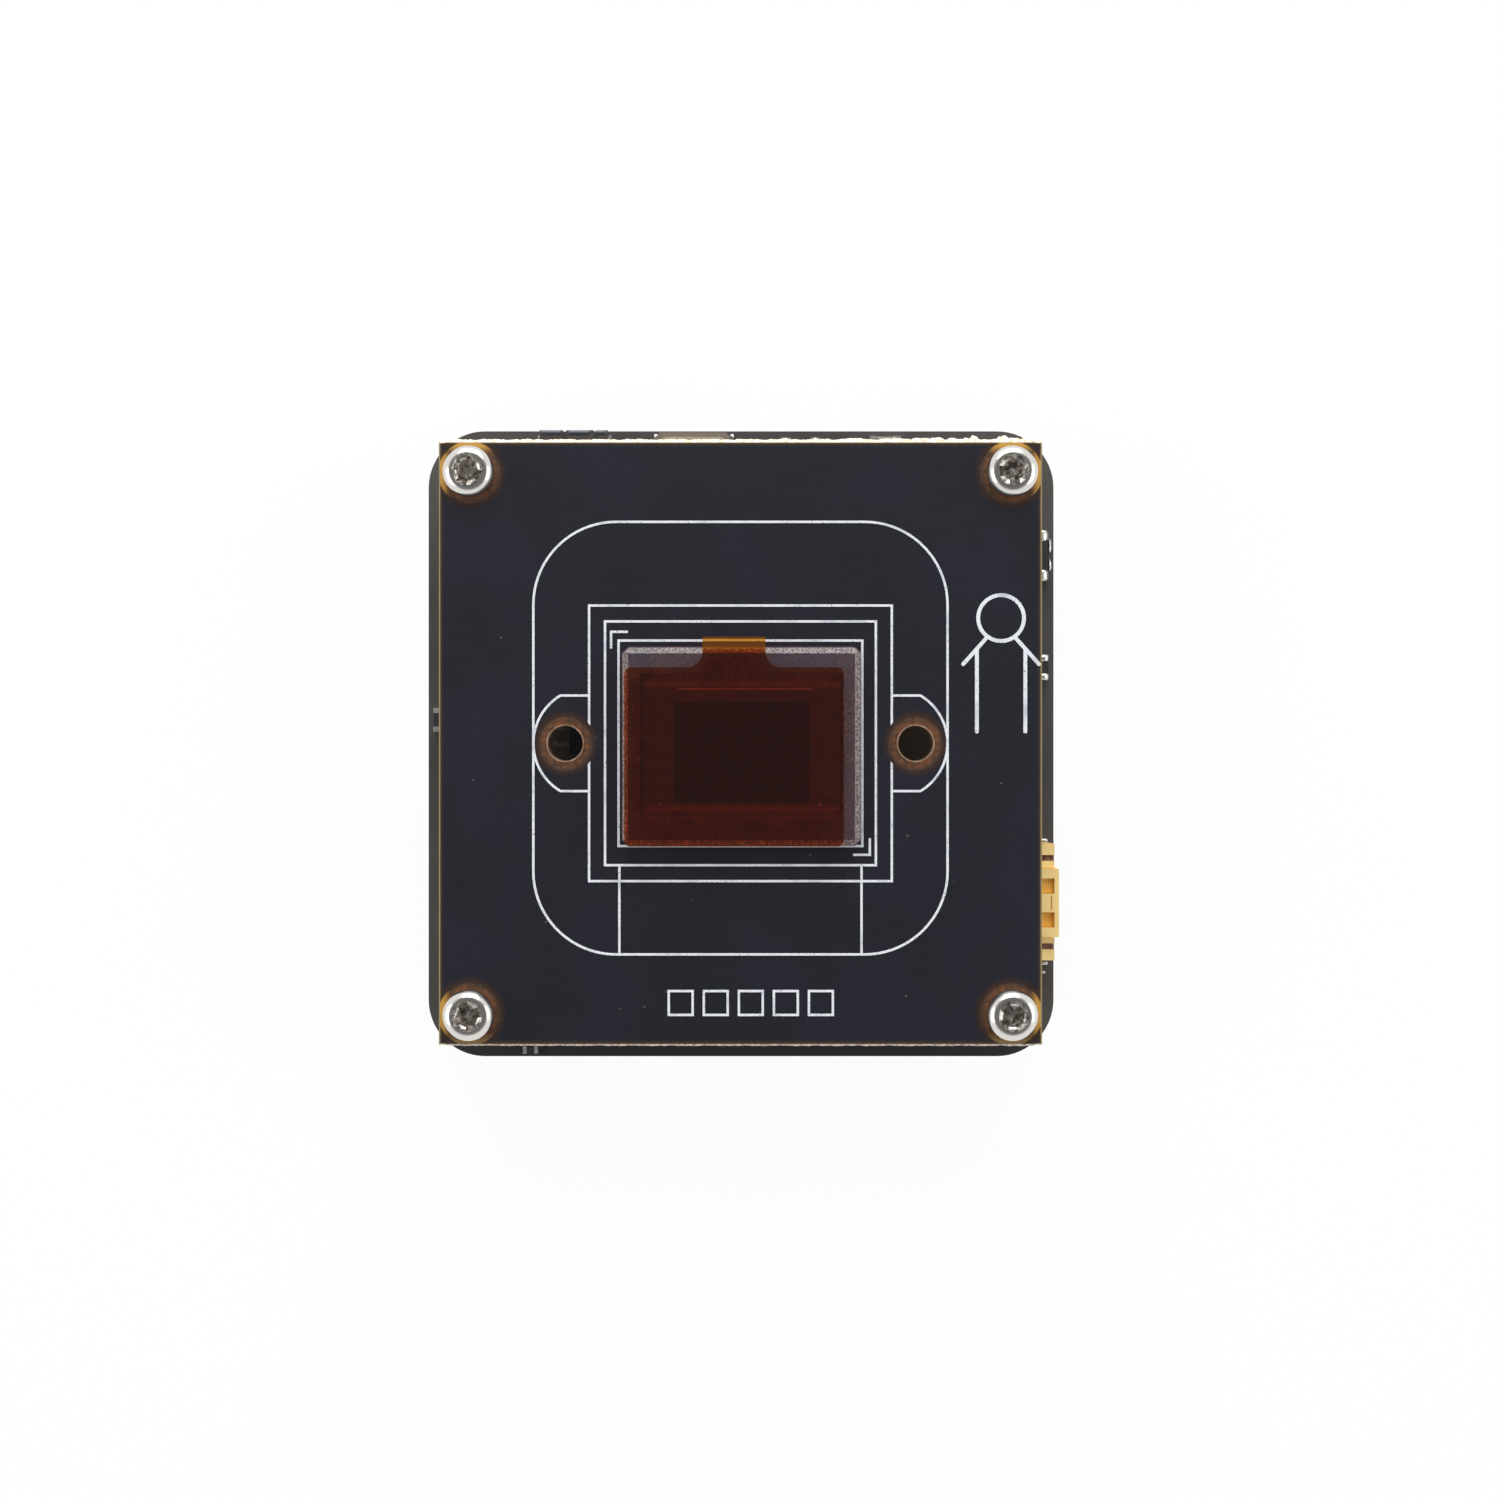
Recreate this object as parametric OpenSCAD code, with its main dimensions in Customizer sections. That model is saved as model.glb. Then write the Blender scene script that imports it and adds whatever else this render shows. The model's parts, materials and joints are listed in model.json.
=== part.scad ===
// Board camera module: a square sensor board on four posts in front of a larger main board.
// Millimetres. The origin is midway between the two lens holder holes, on the laminate's front
// face. +Z is the optical axis, out of the sensor, and +Y is the top of the picture it takes.
// The module lies on the tops of its rear sockets.

/* [Sensor board] */
// Distance from the sensor board's edges to the screw centres
sensor_margin = 2; // [1.9:0.1:3]
// Thickness of the sensor board's laminate
sensor_t = 1.1; // [0.7:0.1:1.5]
// How far the scored edge slopes in at each face
score_in = 0.15; // [0.05:0.01:0.25]
// Height of the ragged land that the two scores leave
score_land = 0.4; // [0.3:0.05:0.5]
// Distance between the two lens holder holes
lens_hole_spacing = 22; // [21:0.5:23]
// Diameter of the lens holder holes
lens_hole_d = 2.2; // [1.8:0.1:2.4]
// Diameter of the mask-free ring round a lens holder hole
lens_ring_d = 3.5; // [3.2:0.1:3.6]
// Width of the copper rim of a lens holder hole
rim_w = 0.1; // [0.05:0.01:0.3]

/* [Main board] */
// Distance from the main board's edges to the screw centres
main_margin = 4; // [3:0.1:6]
// Corner radius of the main board
main_corner_r = 3.8; // [2:0.2:4]
// Thickness of the main board's laminate
main_t = 1.5; // [0.9:0.1:1.6]
// Thickness of the solder mask on both boards
mask_t = 0.05; // [0.03:0.01:0.08]
// Thickness of the printed legend
ink_t = 0.04; // [0.03:0.01:0.06]

/* [Posts and screws] */
// Distance between post centres along a side, which both boards follow
post_spacing = 34; // [32:0.5:40]
// Distance between the two boards' laminates
post_h = 7; // [6.5:0.5:9]
// Diameter of a post
post_d = 3.8; // [3.4:0.1:3.9]
// Diameter of a post's soldered foot
post_foot_d = 4.8; // [4.6:0.1:5.2]
// Thickness of a post's foot
post_foot_t = 0.6; // [0.4:0.1:1]
// Diameter of the neck in the main board
post_neck_d = 2.9; // [2.6:0.1:3]
// Diameter of a post's rear hole at the roots of its thread
post_core_d = 1.6; // [1.4:0.05:1.7]
// Bare laminate left round a post and round its foot
bare_ring = 0.1; // [0.05:0.01:0.2]
// Clearance hole for a screw
screw_hole_d = 2.2; // [2.1:0.1:2.4]
// Diameter of a screw's thread
screw_d = 1.95; // [1.9:0.05:2]
// Diameter of a screw's head
screw_head_d = 3.2; // [3:0.1:3.6]
// Height of a screw's head
screw_head_h = 1.2; // [1:0.1:1.4]
// How deep a screw enters its post
screw_grip = 2; // [1.6:0.1:2.2]
// Length of the cross recess across its mouth
recess_d = 1.7; // [1.4:0.1:1.8]

/* [Image sensor] */
// Width of the sensor package
package_w = 14.9; // [14:0.1:15]
// Height of the sensor package along Y
package_l = 12.4; // [12:0.1:12.6]
// Thickness of the sensor package
package_t = 0.95; // [0.8:0.05:1.2]
// Chamfer on the package's corners
package_chamfer = 0.4; // [0.2:0.05:0.6]
// Height of the solder joints under the package
package_lift = 0.08; // [0.07:0.01:0.15]
// Offset of the package's centre from the lens axis, towards the bottom
package_drop = 0.2; // [0:0.05:0.3]
// Offset of the package's centre from the lens axis, to the right
package_shift = 0.08; // [0:0.01:0.2]
// Ledge of the package round the glass
glass_ledge = 0.08; // [0.05:0.01:0.3]
// Thickness of the cover glass
glass_t = 0.5; // [0.3:0.05:0.7]
// Width of the ground bevel round the glass
glass_bevel = 0.35; // [0.1:0.05:0.45]
// Width of the silicon die
die_w = 12.3; // [11:0.1:12.4]
// Height of the silicon die along Y
die_l = 8; // [7.5:0.1:8.4]
// Thickness of the silicon die
die_t = 0.3; // [0.2:0.05:0.35]
// Width of the light-sensitive area
pixel_w = 8.4; // [7.6:0.1:9]
// Height of the light-sensitive area
pixel_l = 6.2; // [4.4:0.1:6.4]
// Width of the protective film
film_w = 13.6; // [13:0.1:14]
// Height of the protective film without its tab
film_l = 11.1; // [10.6:0.1:11.4]
// How far the film's left edge stands in from the glass
film_inset = 0.1; // [0:0.02:0.5]
// How far the film runs past the glass at the bottom
film_overhang = 0.08; // [0:0.02:0.2]
// Thickness of the protective film
film_t = 0.06; // [0.04:0.01:0.1]
// Width of the film's pull tab
tab_w = 3.9; // [3:0.1:5]
// Length of the film's pull tab
tab_l = 1.9; // [1.5:0.1:2.2]

/* [Sockets] */
// Distance between neighbouring pins of the wafer sockets
wafer_pitch = 1.25; // [1.2:0.05:1.3]
// Height of the wafer sockets above their board
wafer_h = 3.4; // [3.2:0.1:3.8]
// Depth of the wafer sockets, mouth to back
wafer_depth = 4.6; // [4.2:0.1:5]
// Wall of the wafer sockets
wafer_wall = 0.5; // [0.4:0.05:0.55]
// Width of each ear beside a wafer socket's body
wafer_ear_w = 1.6; // [1.4:0.05:1.7]
// Height of the black service socket
service_h = 1.6; // [1.4:0.1:2]
// How far the sockets' mouths stand in from the board's edge
mouth_inset = 0.2; // [0:0.05:0.4]
// Pins in each row of the board-to-board connector
mate_pins = 16; // [12:1:18]
// Distance between pins in the board-to-board connector
mate_pitch = 0.8; // [0.8:0.05:0.9]
// Height of the plug half under the sensor board
plug_h = 2.4; // [2.2:0.1:2.8]

/* [Chips] */
// Side of the processor package
processor_side = 12; // [11:0.5:12.5]
// Thickness of the processor package
processor_t = 1.2; // [0.9:0.1:1.4]
// Side of the power inductors
inductor_side = 4; // [3.6:0.1:4.2]
// Height of the power inductors
inductor_h = 2; // [1.6:0.1:2.4]
// Height of the network transformer
transformer_h = 2.6; // [2:0.1:3]

/* [Legend] */
// Width of the legend's lines
line_w = 0.15; // [0.12:0.01:0.22]
// Width of the orientation figure's strokes
figure_line_w = 0.24; // [0.2:0.01:0.3]

/* [Hidden] */

$fn = 64;
// Overshoot of a cut past the face it opens
cut = 1;

// Levels along the optical axis, front to back
legend_z = mask_t;
sensor_rear_z = -sensor_t - mask_t;
main_face_z = -sensor_t - post_h;
main_front_z = main_face_z + mask_t;
main_back_z = main_face_z - main_t;
main_rear_z = main_back_z - mask_t;
gap_h = sensor_rear_z - main_front_z;

post_half = post_spacing / 2;
sensor_half = post_half + sensor_margin;
sensor_side = 2 * sensor_half;
main_half = post_half + main_margin;
main_side = 2 * main_half;
screw_ring_d = post_d + 2 * bare_ring;
foot_ring_d = post_foot_d + 2 * bare_ring;
post_places = [for (x = [-1, 1], y = [-1, 1]) [x, y] * post_half];
lens_places = [for (x = [-1, 1]) [x * lens_hole_spacing / 2, 0]];

// ---- Layout: pieces keep their gaps to the boards' edges, the posts and each other ----

// Chips: [length, width, height, end cap]
small_chip = [1.0, 0.5, 0.5, 0.25];
medium_chip = [1.6, 0.8, 0.8, 0.35];
large_chip = [2.0, 1.25, 0.9, 0.4];
long_chip = [3.2, 1.6, 0.6, 0.55];

// Connector between the boards
mate_edge_gap = 3.4;
mate_w = (mate_pins - 1) * mate_pitch + 2.4;
mate_l = 4.4;
mate_place = [0, -sensor_half + mate_edge_gap + mate_l / 2];

// Microphone socket: its solder tab stands this far from the foot of the post beside it
socket_post_gap = 0.05;
tab_reach = 0.3;
microphone_pin_count = 3;
microphone_y = -post_half + post_foot_d / 2 + socket_post_gap + wafer_span(microphone_pin_count) / 2;

// Service socket and the clock crystal beside it, along the top edge
service_w = 4.5;
service_tab = [1.6, 0.2, 0.8];
service_post_gap = 1.05;
service_x = -post_half + post_foot_d / 2 + service_post_gap + service_tab[1] + service_w / 2;
clock_size = [5, 3.2, 1];
clock_gap = 3.15;
clock_x = service_x + service_w / 2 + clock_gap + clock_size[0] / 2;
clock_place = [clock_x, main_half - mouth_inset - clock_size[1] / 2];

// Behind the sensor board: regulators and a crystal in its four quarters
quarter_in = 7.5;
regulator_x = sensor_half - quarter_in;
regulator_y = sensor_half / 2;
regulator_places = [
    [-regulator_x, regulator_y], [-regulator_x, 1 - regulator_y], [regulator_x, regulator_y]
];
small_crystal_size = [3.2, 2.5, 0.75];
sensor_crystal_place = [regulator_x, -sensor_half / 2 + 0.5];

// Front of the main board, in the space between the boards
transformer_place = [-8, 4];

// Rear of the main board: the processor, its memory beside it and its power stage below it
processor_half = processor_side / 2;
processor_place = [3.5, 2.4];
memory_size = [7.5, 13.3, 1];
memory_gap = 1.75;
memory_place = [processor_place[0] - processor_half - memory_gap - memory_size[0] / 2, processor_place[1]];
power_pitch = 5.5;
power_x = [for (i = [-1 : 1]) processor_place[0] + power_pitch * i];
converter_y = processor_place[1] - processor_half - 2.8;
inductor_y = converter_y - 1.8 - inductor_side / 2;
flash_size = [5.2, 5.2, 1.8];
flash_reach = 1.3;
flash_gap = 0.2;
flash_x = power_x[0] - inductor_side / 2 - flash_gap - flash_reach - flash_size[0] / 2;
flash_place = [flash_x, inductor_y + 1.4];
rear_crystal_place = [processor_place[0] + processor_half + 2.8, processor_place[1] + processor_half + 2.2];

// ---- Shapes shared by several pieces ----

// Rectangle with round corners, centred
module round_rect(w, l, r) {
    square([w - 2 * r, l], center = true);
    square([w, l - 2 * r], center = true);
    for (x = [-1, 1], y = [-1, 1])
        translate([x * (w / 2 - r), y * (l / 2 - r)])
            circle(r);
}

// Rectangle with its corners cut at 45 degrees, centred
module chamfered_rect(w, l, c) {
    x = w / 2;
    y = l / 2;
    polygon([
        [-x + c, -y], [x - c, -y], [x, -y + c], [x, y - c],
        [x - c, y], [-x + c, y], [-x, y - c], [-x, -y + c]
    ]);
}

// Block that stands on z = 0, centred in X and Y
module block(w, l, h) {
    translate([-w / 2, -l / 2, 0])
        cube([w, l, h]);
}

// Moulded chip body: a block whose sides slope in above and below a waist
module moulded_body(w, l, h, z = 0, slope = 0.12) {
    waist = 0.1;
    half = (h - waist) / 2;
    intersection() {
        translate([0, l / 2 + cut, z])
            rotate([90, 0, 0])
                linear_extrude(l + 2 * cut)
                    waisted(w, h, half, waist, slope);
        translate([-w / 2 - cut, 0, z])
            rotate([90, 0, 90])
                linear_extrude(w + 2 * cut)
                    waisted(l, h, half, waist, slope);
    }
}

// Section of a moulded body, standing on y = 0
module waisted(w, h, half, waist, slope) {
    x = w / 2;
    polygon([
        [-x + slope, 0], [x - slope, 0], [x, half], [x, half + waist],
        [x - slope, h], [-x + slope, h], [-x, half + waist], [-x, half]
    ]);
}

// Gull-wing leg along +X from the side of a body, from height z down to the board
module gull_leg(start, reach, z, w, t) {
    drop = reach * 0.4;
    profile = [
        [start, z + t], [start, z], [start + drop - t, z], [start + drop - t, 0],
        [start + reach, 0], [start + reach, t], [start + drop, t], [start + drop, z + t]
    ];
    translate([0, w / 2, 0])
        rotate([90, 0, 0])
            linear_extrude(w)
                polygon(profile);
}

// Legs on both long sides of a chip, counts given for the +X and the -X side
module leg_rows(body_w, reach, z, w, t, pitch, right, left) {
    for (side = [[0, right], [180, left]])
        for (i = [0 : side[1] - 1])
            rotate([0, 0, side[0]])
                translate([0, (i - (side[1] - 1) / 2) * pitch * (side[1] == 2 ? 2 : 1), 0])
                    gull_leg(body_w / 2, reach, z, w, t);
}

// Puts a piece on the main board's front, the sensor board's rear or the main board's rear
module on_main_front(x, y, turn = 0) {
    translate([x, y, main_front_z])
        rotate([0, 0, turn])
            children();
}

module on_sensor_rear(x, y, turn = 0) {
    translate([x, y, sensor_rear_z])
        rotate([180, 0, turn])
            children();
}

module on_main_rear(x, y, turn = 0) {
    translate([x, y, main_rear_z])
        rotate([180, 0, turn])
            children();
}

// ---- Chip capacitors and resistors ----

// How far the end caps stand proud of the body
cap_proud = 0.03;

module chip_body(size) {
    block(size[0] - 2 * size[3], size[1] - 2 * cap_proud, size[2] - cap_proud);
}

module chip_ends(size) {
    for (side = [-1, 1])
        translate([side * (size[0] - size[3]) / 2, 0, 0])
            block(size[3], size[1], size[2]);
}

// How far chips stand in from the main board's edge, and how far from the post beside them
edge_in = 1.1;
bare_edge = 0.45;
// Gap between a chip row and the package it serves, and the rows' pitches
row_gap = 1.2;
close_pitch = 1.2;
small_pitch = 1.6;
wide_pitch = 2;

// A chip is [x, y, turn, size]
top_edge_chips = [
    for (x = [3, 5]) [x, main_half - edge_in, 90, small_chip],
    for (x = [4.2, 2.8, 1.4]) [post_half - x, main_half - edge_in, 90, small_chip],
    [post_half - 7.3, main_half - edge_in, 0, large_chip]
];
right_edge_chips = [
    for (y = [7.5, 9]) [main_half - edge_in - small_chip[1], post_half - y, 90, small_chip]
];
front_resistor_chips = [
    [main_half - bare_edge - long_chip[1] / 2, post_half - 4.4, 90, long_chip],
    [main_half - bare_edge - medium_chip[1] / 2, post_half - 11.9, 90, medium_chip],
    [-main_half + bare_edge + medium_chip[1] / 2, 1.6, 90, medium_chip],
    [-post_half + 2.9, -main_half + small_chip[1], 0, small_chip]
];
inner_front_chips = [
    for (i = [0 : 5]) [small_pitch * i - 2, main_half - 9, 90, small_chip],
    for (i = [0 : 4]) [wide_pitch * i + 4, mate_place[1] + mate_l / 2 + 4.2, 90, medium_chip],
    for (i = [0 : 3]) [-post_half + 2, small_pitch * i - 6, 0, small_chip]
];
front_chips = concat(top_edge_chips, right_edge_chips, inner_front_chips);

// Rows beside, above and below the sensor package, on the other side of its board
sensor_chips = [
    for (x = [-1, 1], i = [-2 : 2]) [x * (package_w / 2 + 0.75), wide_pitch * i, 0, small_chip],
    for (i = [0 : 7]) [small_pitch * (i - 3.5), package_l / 2 + row_gap, 90, small_chip],
    for (i = [0 : 5]) [wide_pitch * (i - 2.5), mate_place[1] + mate_l / 2 + 2.2, 90, small_chip],
    for (i = [-2 : 0]) [5.5 * i + 1, sensor_half - 4.4, 0, medium_chip]
];

// Rows above and beside the processor, above the memory chip, and below and between the power stages
above_processor = processor_place[1] + processor_half + row_gap + small_chip[0] / 2;
beside_processor = processor_place[0] + processor_half + row_gap + small_chip[0] / 2;
above_memory = memory_place[1] + memory_size[1] / 2 + row_gap + medium_chip[0] / 2;
below_inductors = inductor_y - inductor_side / 2 - small_chip[1];
rear_chips = [
    for (i = [-4 : 4]) [processor_place[0] + close_pitch * i, above_processor, 90, small_chip],
    for (i = [-3.5 : 3.5]) [beside_processor, processor_place[1] + small_pitch * i, 0, small_chip],
    for (i = [-1.5 : 1.5]) [memory_place[0] + wide_pitch * i, above_memory, 90, medium_chip],
    for (x = power_x) [x, below_inductors, 0, small_chip],
    for (x = power_x) [x + power_pitch / 2, converter_y, 90, medium_chip]
];

module sensor_capacitors() {
    color("#8a7458")
        for (c = sensor_chips)
            on_sensor_rear(c[0], c[1], c[2])
                chip_body(c[3]);
}

module sensor_capacitor_ends() {
    color("#cfcfca")
        for (c = sensor_chips)
            on_sensor_rear(c[0], c[1], c[2])
                chip_ends(c[3]);
}

module front_capacitors() {
    color("#b9b2a4")
        for (c = front_chips)
            on_main_front(c[0], c[1], c[2])
                chip_body(c[3]);
}

module front_capacitor_ends() {
    color("#e6e0d0")
        for (c = front_chips)
            on_main_front(c[0], c[1], c[2])
                chip_ends(c[3]);
}

module front_resistors() {
    color("#2b2c2f")
        for (c = front_resistor_chips)
            on_main_front(c[0], c[1], c[2])
                chip_body(c[3]);
}

module front_resistor_ends() {
    color("#cfcfca")
        for (c = front_resistor_chips)
            on_main_front(c[0], c[1], c[2])
                chip_ends(c[3]);
}

module rear_capacitors() {
    color("#8a7458")
        for (c = rear_chips)
            on_main_rear(c[0], c[1], c[2])
                chip_body(c[3]);
}

module rear_capacitor_ends() {
    color("#cfcfca")
        for (c = rear_chips)
            on_main_rear(c[0], c[1], c[2])
                chip_ends(c[3]);
}

// ---- Sensor board ----

// Wall of the copper sleeve in a lens holder hole
plating_t = 0.03;

// Section of a board broken out along scores in both faces, hanging from y = 0
module scored_section() {
    in = sensor_half - score_in;
    upper = -(sensor_t - score_land) / 2;
    lower = -(sensor_t + score_land) / 2;
    polygon([
        [-in, 0], [-sensor_half, upper], [-sensor_half, lower], [-in, -sensor_t],
        [in, -sensor_t], [sensor_half, lower], [sensor_half, upper], [in, 0]
    ]);
}

module sensor_board() {
    color("#a8824a")
        difference() {
            intersection() {
                translate([0, sensor_half + cut, 0])
                    rotate([90, 0, 0])
                        linear_extrude(sensor_side + 2 * cut)
                            scored_section();
                translate([-sensor_half - cut, 0, 0])
                    rotate([90, 0, 90])
                        linear_extrude(sensor_side + 2 * cut)
                            scored_section();
            }
            for (p = post_places)
                translate([p[0], p[1], -sensor_t - cut])
                    cylinder(d = screw_hole_d, h = sensor_t + 2 * cut);
            for (p = lens_places)
                translate([p[0], p[1], -sensor_t - cut])
                    cylinder(d = lens_hole_d + 2 * plating_t, h = sensor_t + 2 * cut);
        }
}

// The mask stops at the scores and leaves rings bare round the holes
module sensor_mask_outline() {
    difference() {
        square(sensor_side - 2 * score_in, center = true);
        for (p = post_places)
            translate(p)
                circle(d = screw_ring_d);
        for (p = lens_places)
            translate(p)
                circle(d = lens_ring_d);
    }
}

module sensor_board_mask() {
    color("#23262e")
        for (z = [0, sensor_rear_z])
            translate([0, 0, z])
                linear_extrude(mask_t)
                    sensor_mask_outline();
}

// Copper sleeve of a lens holder hole, with a narrow rim on each face
module lens_hole_rims() {
    inner = lens_hole_d / 2;
    barrel = inner + plating_t;
    rim = inner + rim_w;
    color("#a08068")
        for (p = lens_places)
            translate(p)
                rotate_extrude()
                    polygon([
                        [inner, mask_t], [rim, mask_t], [rim, 0], [barrel, 0],
                        [barrel, -sensor_t], [rim, -sensor_t], [rim, sensor_rear_z], [inner, sensor_rear_z]
                    ]);
}

// ---- Legend of the sensor board: outlines of the lens holder and of the sensor ----

holder_w = 26;
holder_top = 13.9;
holder_bottom = -13.25;
holder_r = 5.2;
outer_w = 19;
outer_l = 17.3;
middle_w = 17;
middle_l = 15.3;
inner_w = 15.3;
inner_l = 12.9;
// The legend stays this far from the bare rings
legend_gap = 0.18;
ear_r = 3.5;
ear_half = 3;
// The boss outline's centre lies this far inside the hole's centre
ear_back_off = 1.5;
bracket_x = 8.12;
bracket_y = 7;
bracket_leg = 1.05;
leg_x = 7.6;

// Outline of a rectangle, its line centred on the given size
module outline(w, l, r = 0) {
    difference() {
        if (r > 0) {
            round_rect(w + line_w, l + line_w, r + line_w / 2);
        } else {
            square([w + line_w, l + line_w], center = true);
        }
        if (r > 0) {
            round_rect(w - line_w, l - line_w, r - line_w / 2);
        } else {
            square([w - line_w, l - line_w], center = true);
        }
    }
}

// Outline of a lens holder boss to the right of the outer outline
module boss_outline() {
    difference() {
        boss_shape(line_w / 2);
        boss_shape(-line_w / 2);
    }
}

module boss_shape(grow) {
    intersection() {
        translate([lens_hole_spacing / 2 - ear_back_off, 0])
            circle(ear_r + grow);
        translate([outer_w / 2, -ear_half - grow])
            square([2 * ear_r, 2 * (ear_half + grow)]);
    }
}

// Straight stroke from a to b with round ends
module stroke(a, b, w) {
    d = b - a;
    translate(a)
        rotate(atan2(d[1], d[0]))
            translate([0, -w / 2])
                square([norm(d), w]);
    translate(a)
        circle(d = w);
    translate(b)
        circle(d = w);
}

// Stroke figure that shows which way is up
module orientation_figure() {
    head = [sensor_half - 2.64, 7.86];
    head_r = 1.44;
    shoulder_y = head[1] - 1.29;
    shoulder_x = 0.95;
    hand = [2.38, head[1] - 2.89];
    leg = 1.52;
    hip_y = head[1] - 2.03;
    foot_y = head[1] - 7.12;
    translate(head)
        difference() {
            circle(head_r + figure_line_w / 2);
            circle(head_r - figure_line_w / 2);
        }
    for (side = [-1, 1]) {
        stroke([head[0] + side * shoulder_x, shoulder_y], [head[0] + side * hand[0], hand[1]], figure_line_w);
        stroke([head[0] + side * leg, hip_y], [head[0] + side * leg, foot_y], figure_line_w);
    }
}

// Row of empty boxes for inspection ticks
module tick_boxes(count, side, pitch) {
    for (i = [0 : count - 1])
        translate([(i - (count - 1) / 2) * pitch, 0])
            outline(side, side);
}

// Corner bracket that marks a corner of the sensor
module bracket() {
    translate([-line_w / 2, -bracket_leg])
        square([line_w, bracket_leg + line_w / 2]);
    translate([-line_w / 2, -line_w / 2])
        square([bracket_leg + line_w / 2, line_w]);
}

module sensor_board_legend() {
    boxes = 5;
    box_side = 1.5;
    box_pitch = 2.2;
    box_place = [0.65, -sensor_half + 2.7];
    color("#dcdde4")
        translate([0, 0, legend_z])
            linear_extrude(ink_t) {
                translate([0, (holder_top + holder_bottom) / 2])
                    outline(holder_w, holder_top - holder_bottom, holder_r);
                difference() {
                    outline(outer_w, outer_l);
                    for (p = lens_places)
                        translate(p)
                            circle(d = lens_ring_d + 2 * legend_gap);
                }
                outline(middle_w, middle_l);
                outline(inner_w, inner_l);
                for (side = [-1, 1])
                    translate([side * leg_x - line_w / 2, holder_bottom])
                        square([line_w, -middle_l / 2 - holder_bottom]);
                boss_outline();
                rotate(180)
                    boss_outline();
                translate([-bracket_x, bracket_y])
                    bracket();
                translate([bracket_x, -bracket_y])
                    rotate(180)
                        bracket();
                orientation_figure();
                translate(box_place)
                    tick_boxes(boxes, box_side, box_pitch);
            }
}

// ---- Image sensor ----

package_floor_t = 0.35;
package_side_wall = 1.15;
package_end_wall = 1.65;
package_z = mask_t + package_lift;
glass_z = package_z + package_t;
glass_w = package_w - 2 * glass_ledge;
glass_l = package_l - 2 * glass_ledge;
film_z = glass_z + glass_t;
die_z = package_z + package_floor_t;
// Offset of the pixel area from the die's centre
pixel_shift = [0, -0.35];
pixel_t = 0.03;

module at_package() {
    translate([package_shift, -package_drop, 0])
        children();
}

module sensor_package() {
    color("#3a3840")
        at_package()
            difference() {
                translate([0, 0, package_z])
                    linear_extrude(package_t)
                        chamfered_rect(package_w, package_l, package_chamfer);
                translate([0, 0, die_z])
                    block(package_w - 2 * package_side_wall, package_l - 2 * package_end_wall, package_t);
            }
}

module sensor_die() {
    color("#2c2224")
        at_package()
            translate([0, 0, die_z])
                block(die_w, die_l, die_t);
}

module pixel_area() {
    color("#141018")
        at_package()
            translate([pixel_shift[0], pixel_shift[1], die_z + die_t])
                block(pixel_w, pixel_l, pixel_t);
}

// Section of the glass across one direction: upright sides, then a ground bevel to the top
module glass_section(w) {
    x = w / 2;
    bevel_h = glass_bevel * 0.7;
    polygon([
        [-x, 0], [x, 0], [x, glass_t - bevel_h], [x - glass_bevel, glass_t],
        [-x + glass_bevel, glass_t], [-x, glass_t - bevel_h]
    ]);
}

module cover_glass() {
    color("#b8b4c8", 0.5)
        at_package()
            translate([0, 0, glass_z])
                intersection() {
                    linear_extrude(glass_t)
                        chamfered_rect(glass_w, glass_l, package_chamfer);
                    translate([0, glass_l / 2 + cut, 0])
                        rotate([90, 0, 0])
                            linear_extrude(glass_l + 2 * cut)
                                glass_section(glass_w);
                    translate([-glass_w / 2 - cut, 0, 0])
                        rotate([90, 0, 90])
                            linear_extrude(glass_w + 2 * cut)
                                glass_section(glass_l);
                }
}

// The film sits low and left on the glass, and its tab runs over the top edge
module protective_film() {
    corner_r = 0.4;
    flare_r = 1;
    place = [(film_w - glass_w) / 2 + film_inset, (film_l - glass_l) / 2 - film_overhang];
    top = film_l / 2;
    color("#7a2c10")
        at_package()
            translate([place[0], place[1], film_z])
                linear_extrude(film_t) {
                    round_rect(film_w, film_l, corner_r);
                    translate([-tab_w / 2, top - corner_r])
                        square([tab_w, tab_l + corner_r]);
                    for (side = [-1, 1])
                        difference() {
                            translate([side * tab_w / 2 - (side < 0 ? flare_r : 0), top - corner_r])
                                square([flare_r, flare_r + corner_r]);
                            translate([side * (tab_w / 2 + flare_r), top + flare_r])
                                circle(flare_r);
                        }
                }
}

// ---- Screws and posts ----

// Section of a slot that narrows down to its floor, half_w to each side at z = 0
module taper_section(half_w, depth) {
    narrowing = 0.6;
    rise = cut / 2;
    floor_half = half_w * (1 - narrowing);
    mouth_half = half_w * (1 + narrowing * rise / depth);
    polygon([[-floor_half, -depth], [floor_half, -depth], [mouth_half, rise], [-mouth_half, rise]]);
}

// One wing pair of a cross recess along X, with its mouth at z = 0, tapering both ways
module recess_wing(depth, w) {
    intersection() {
        translate([0, recess_d, 0])
            rotate([90, 0, 0])
                linear_extrude(2 * recess_d)
                    taper_section(recess_d / 2, depth);
        translate([-recess_d, 0, 0])
            rotate([90, 0, 90])
                linear_extrude(2 * recess_d)
                    taper_section(w / 2, depth);
    }
}

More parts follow.
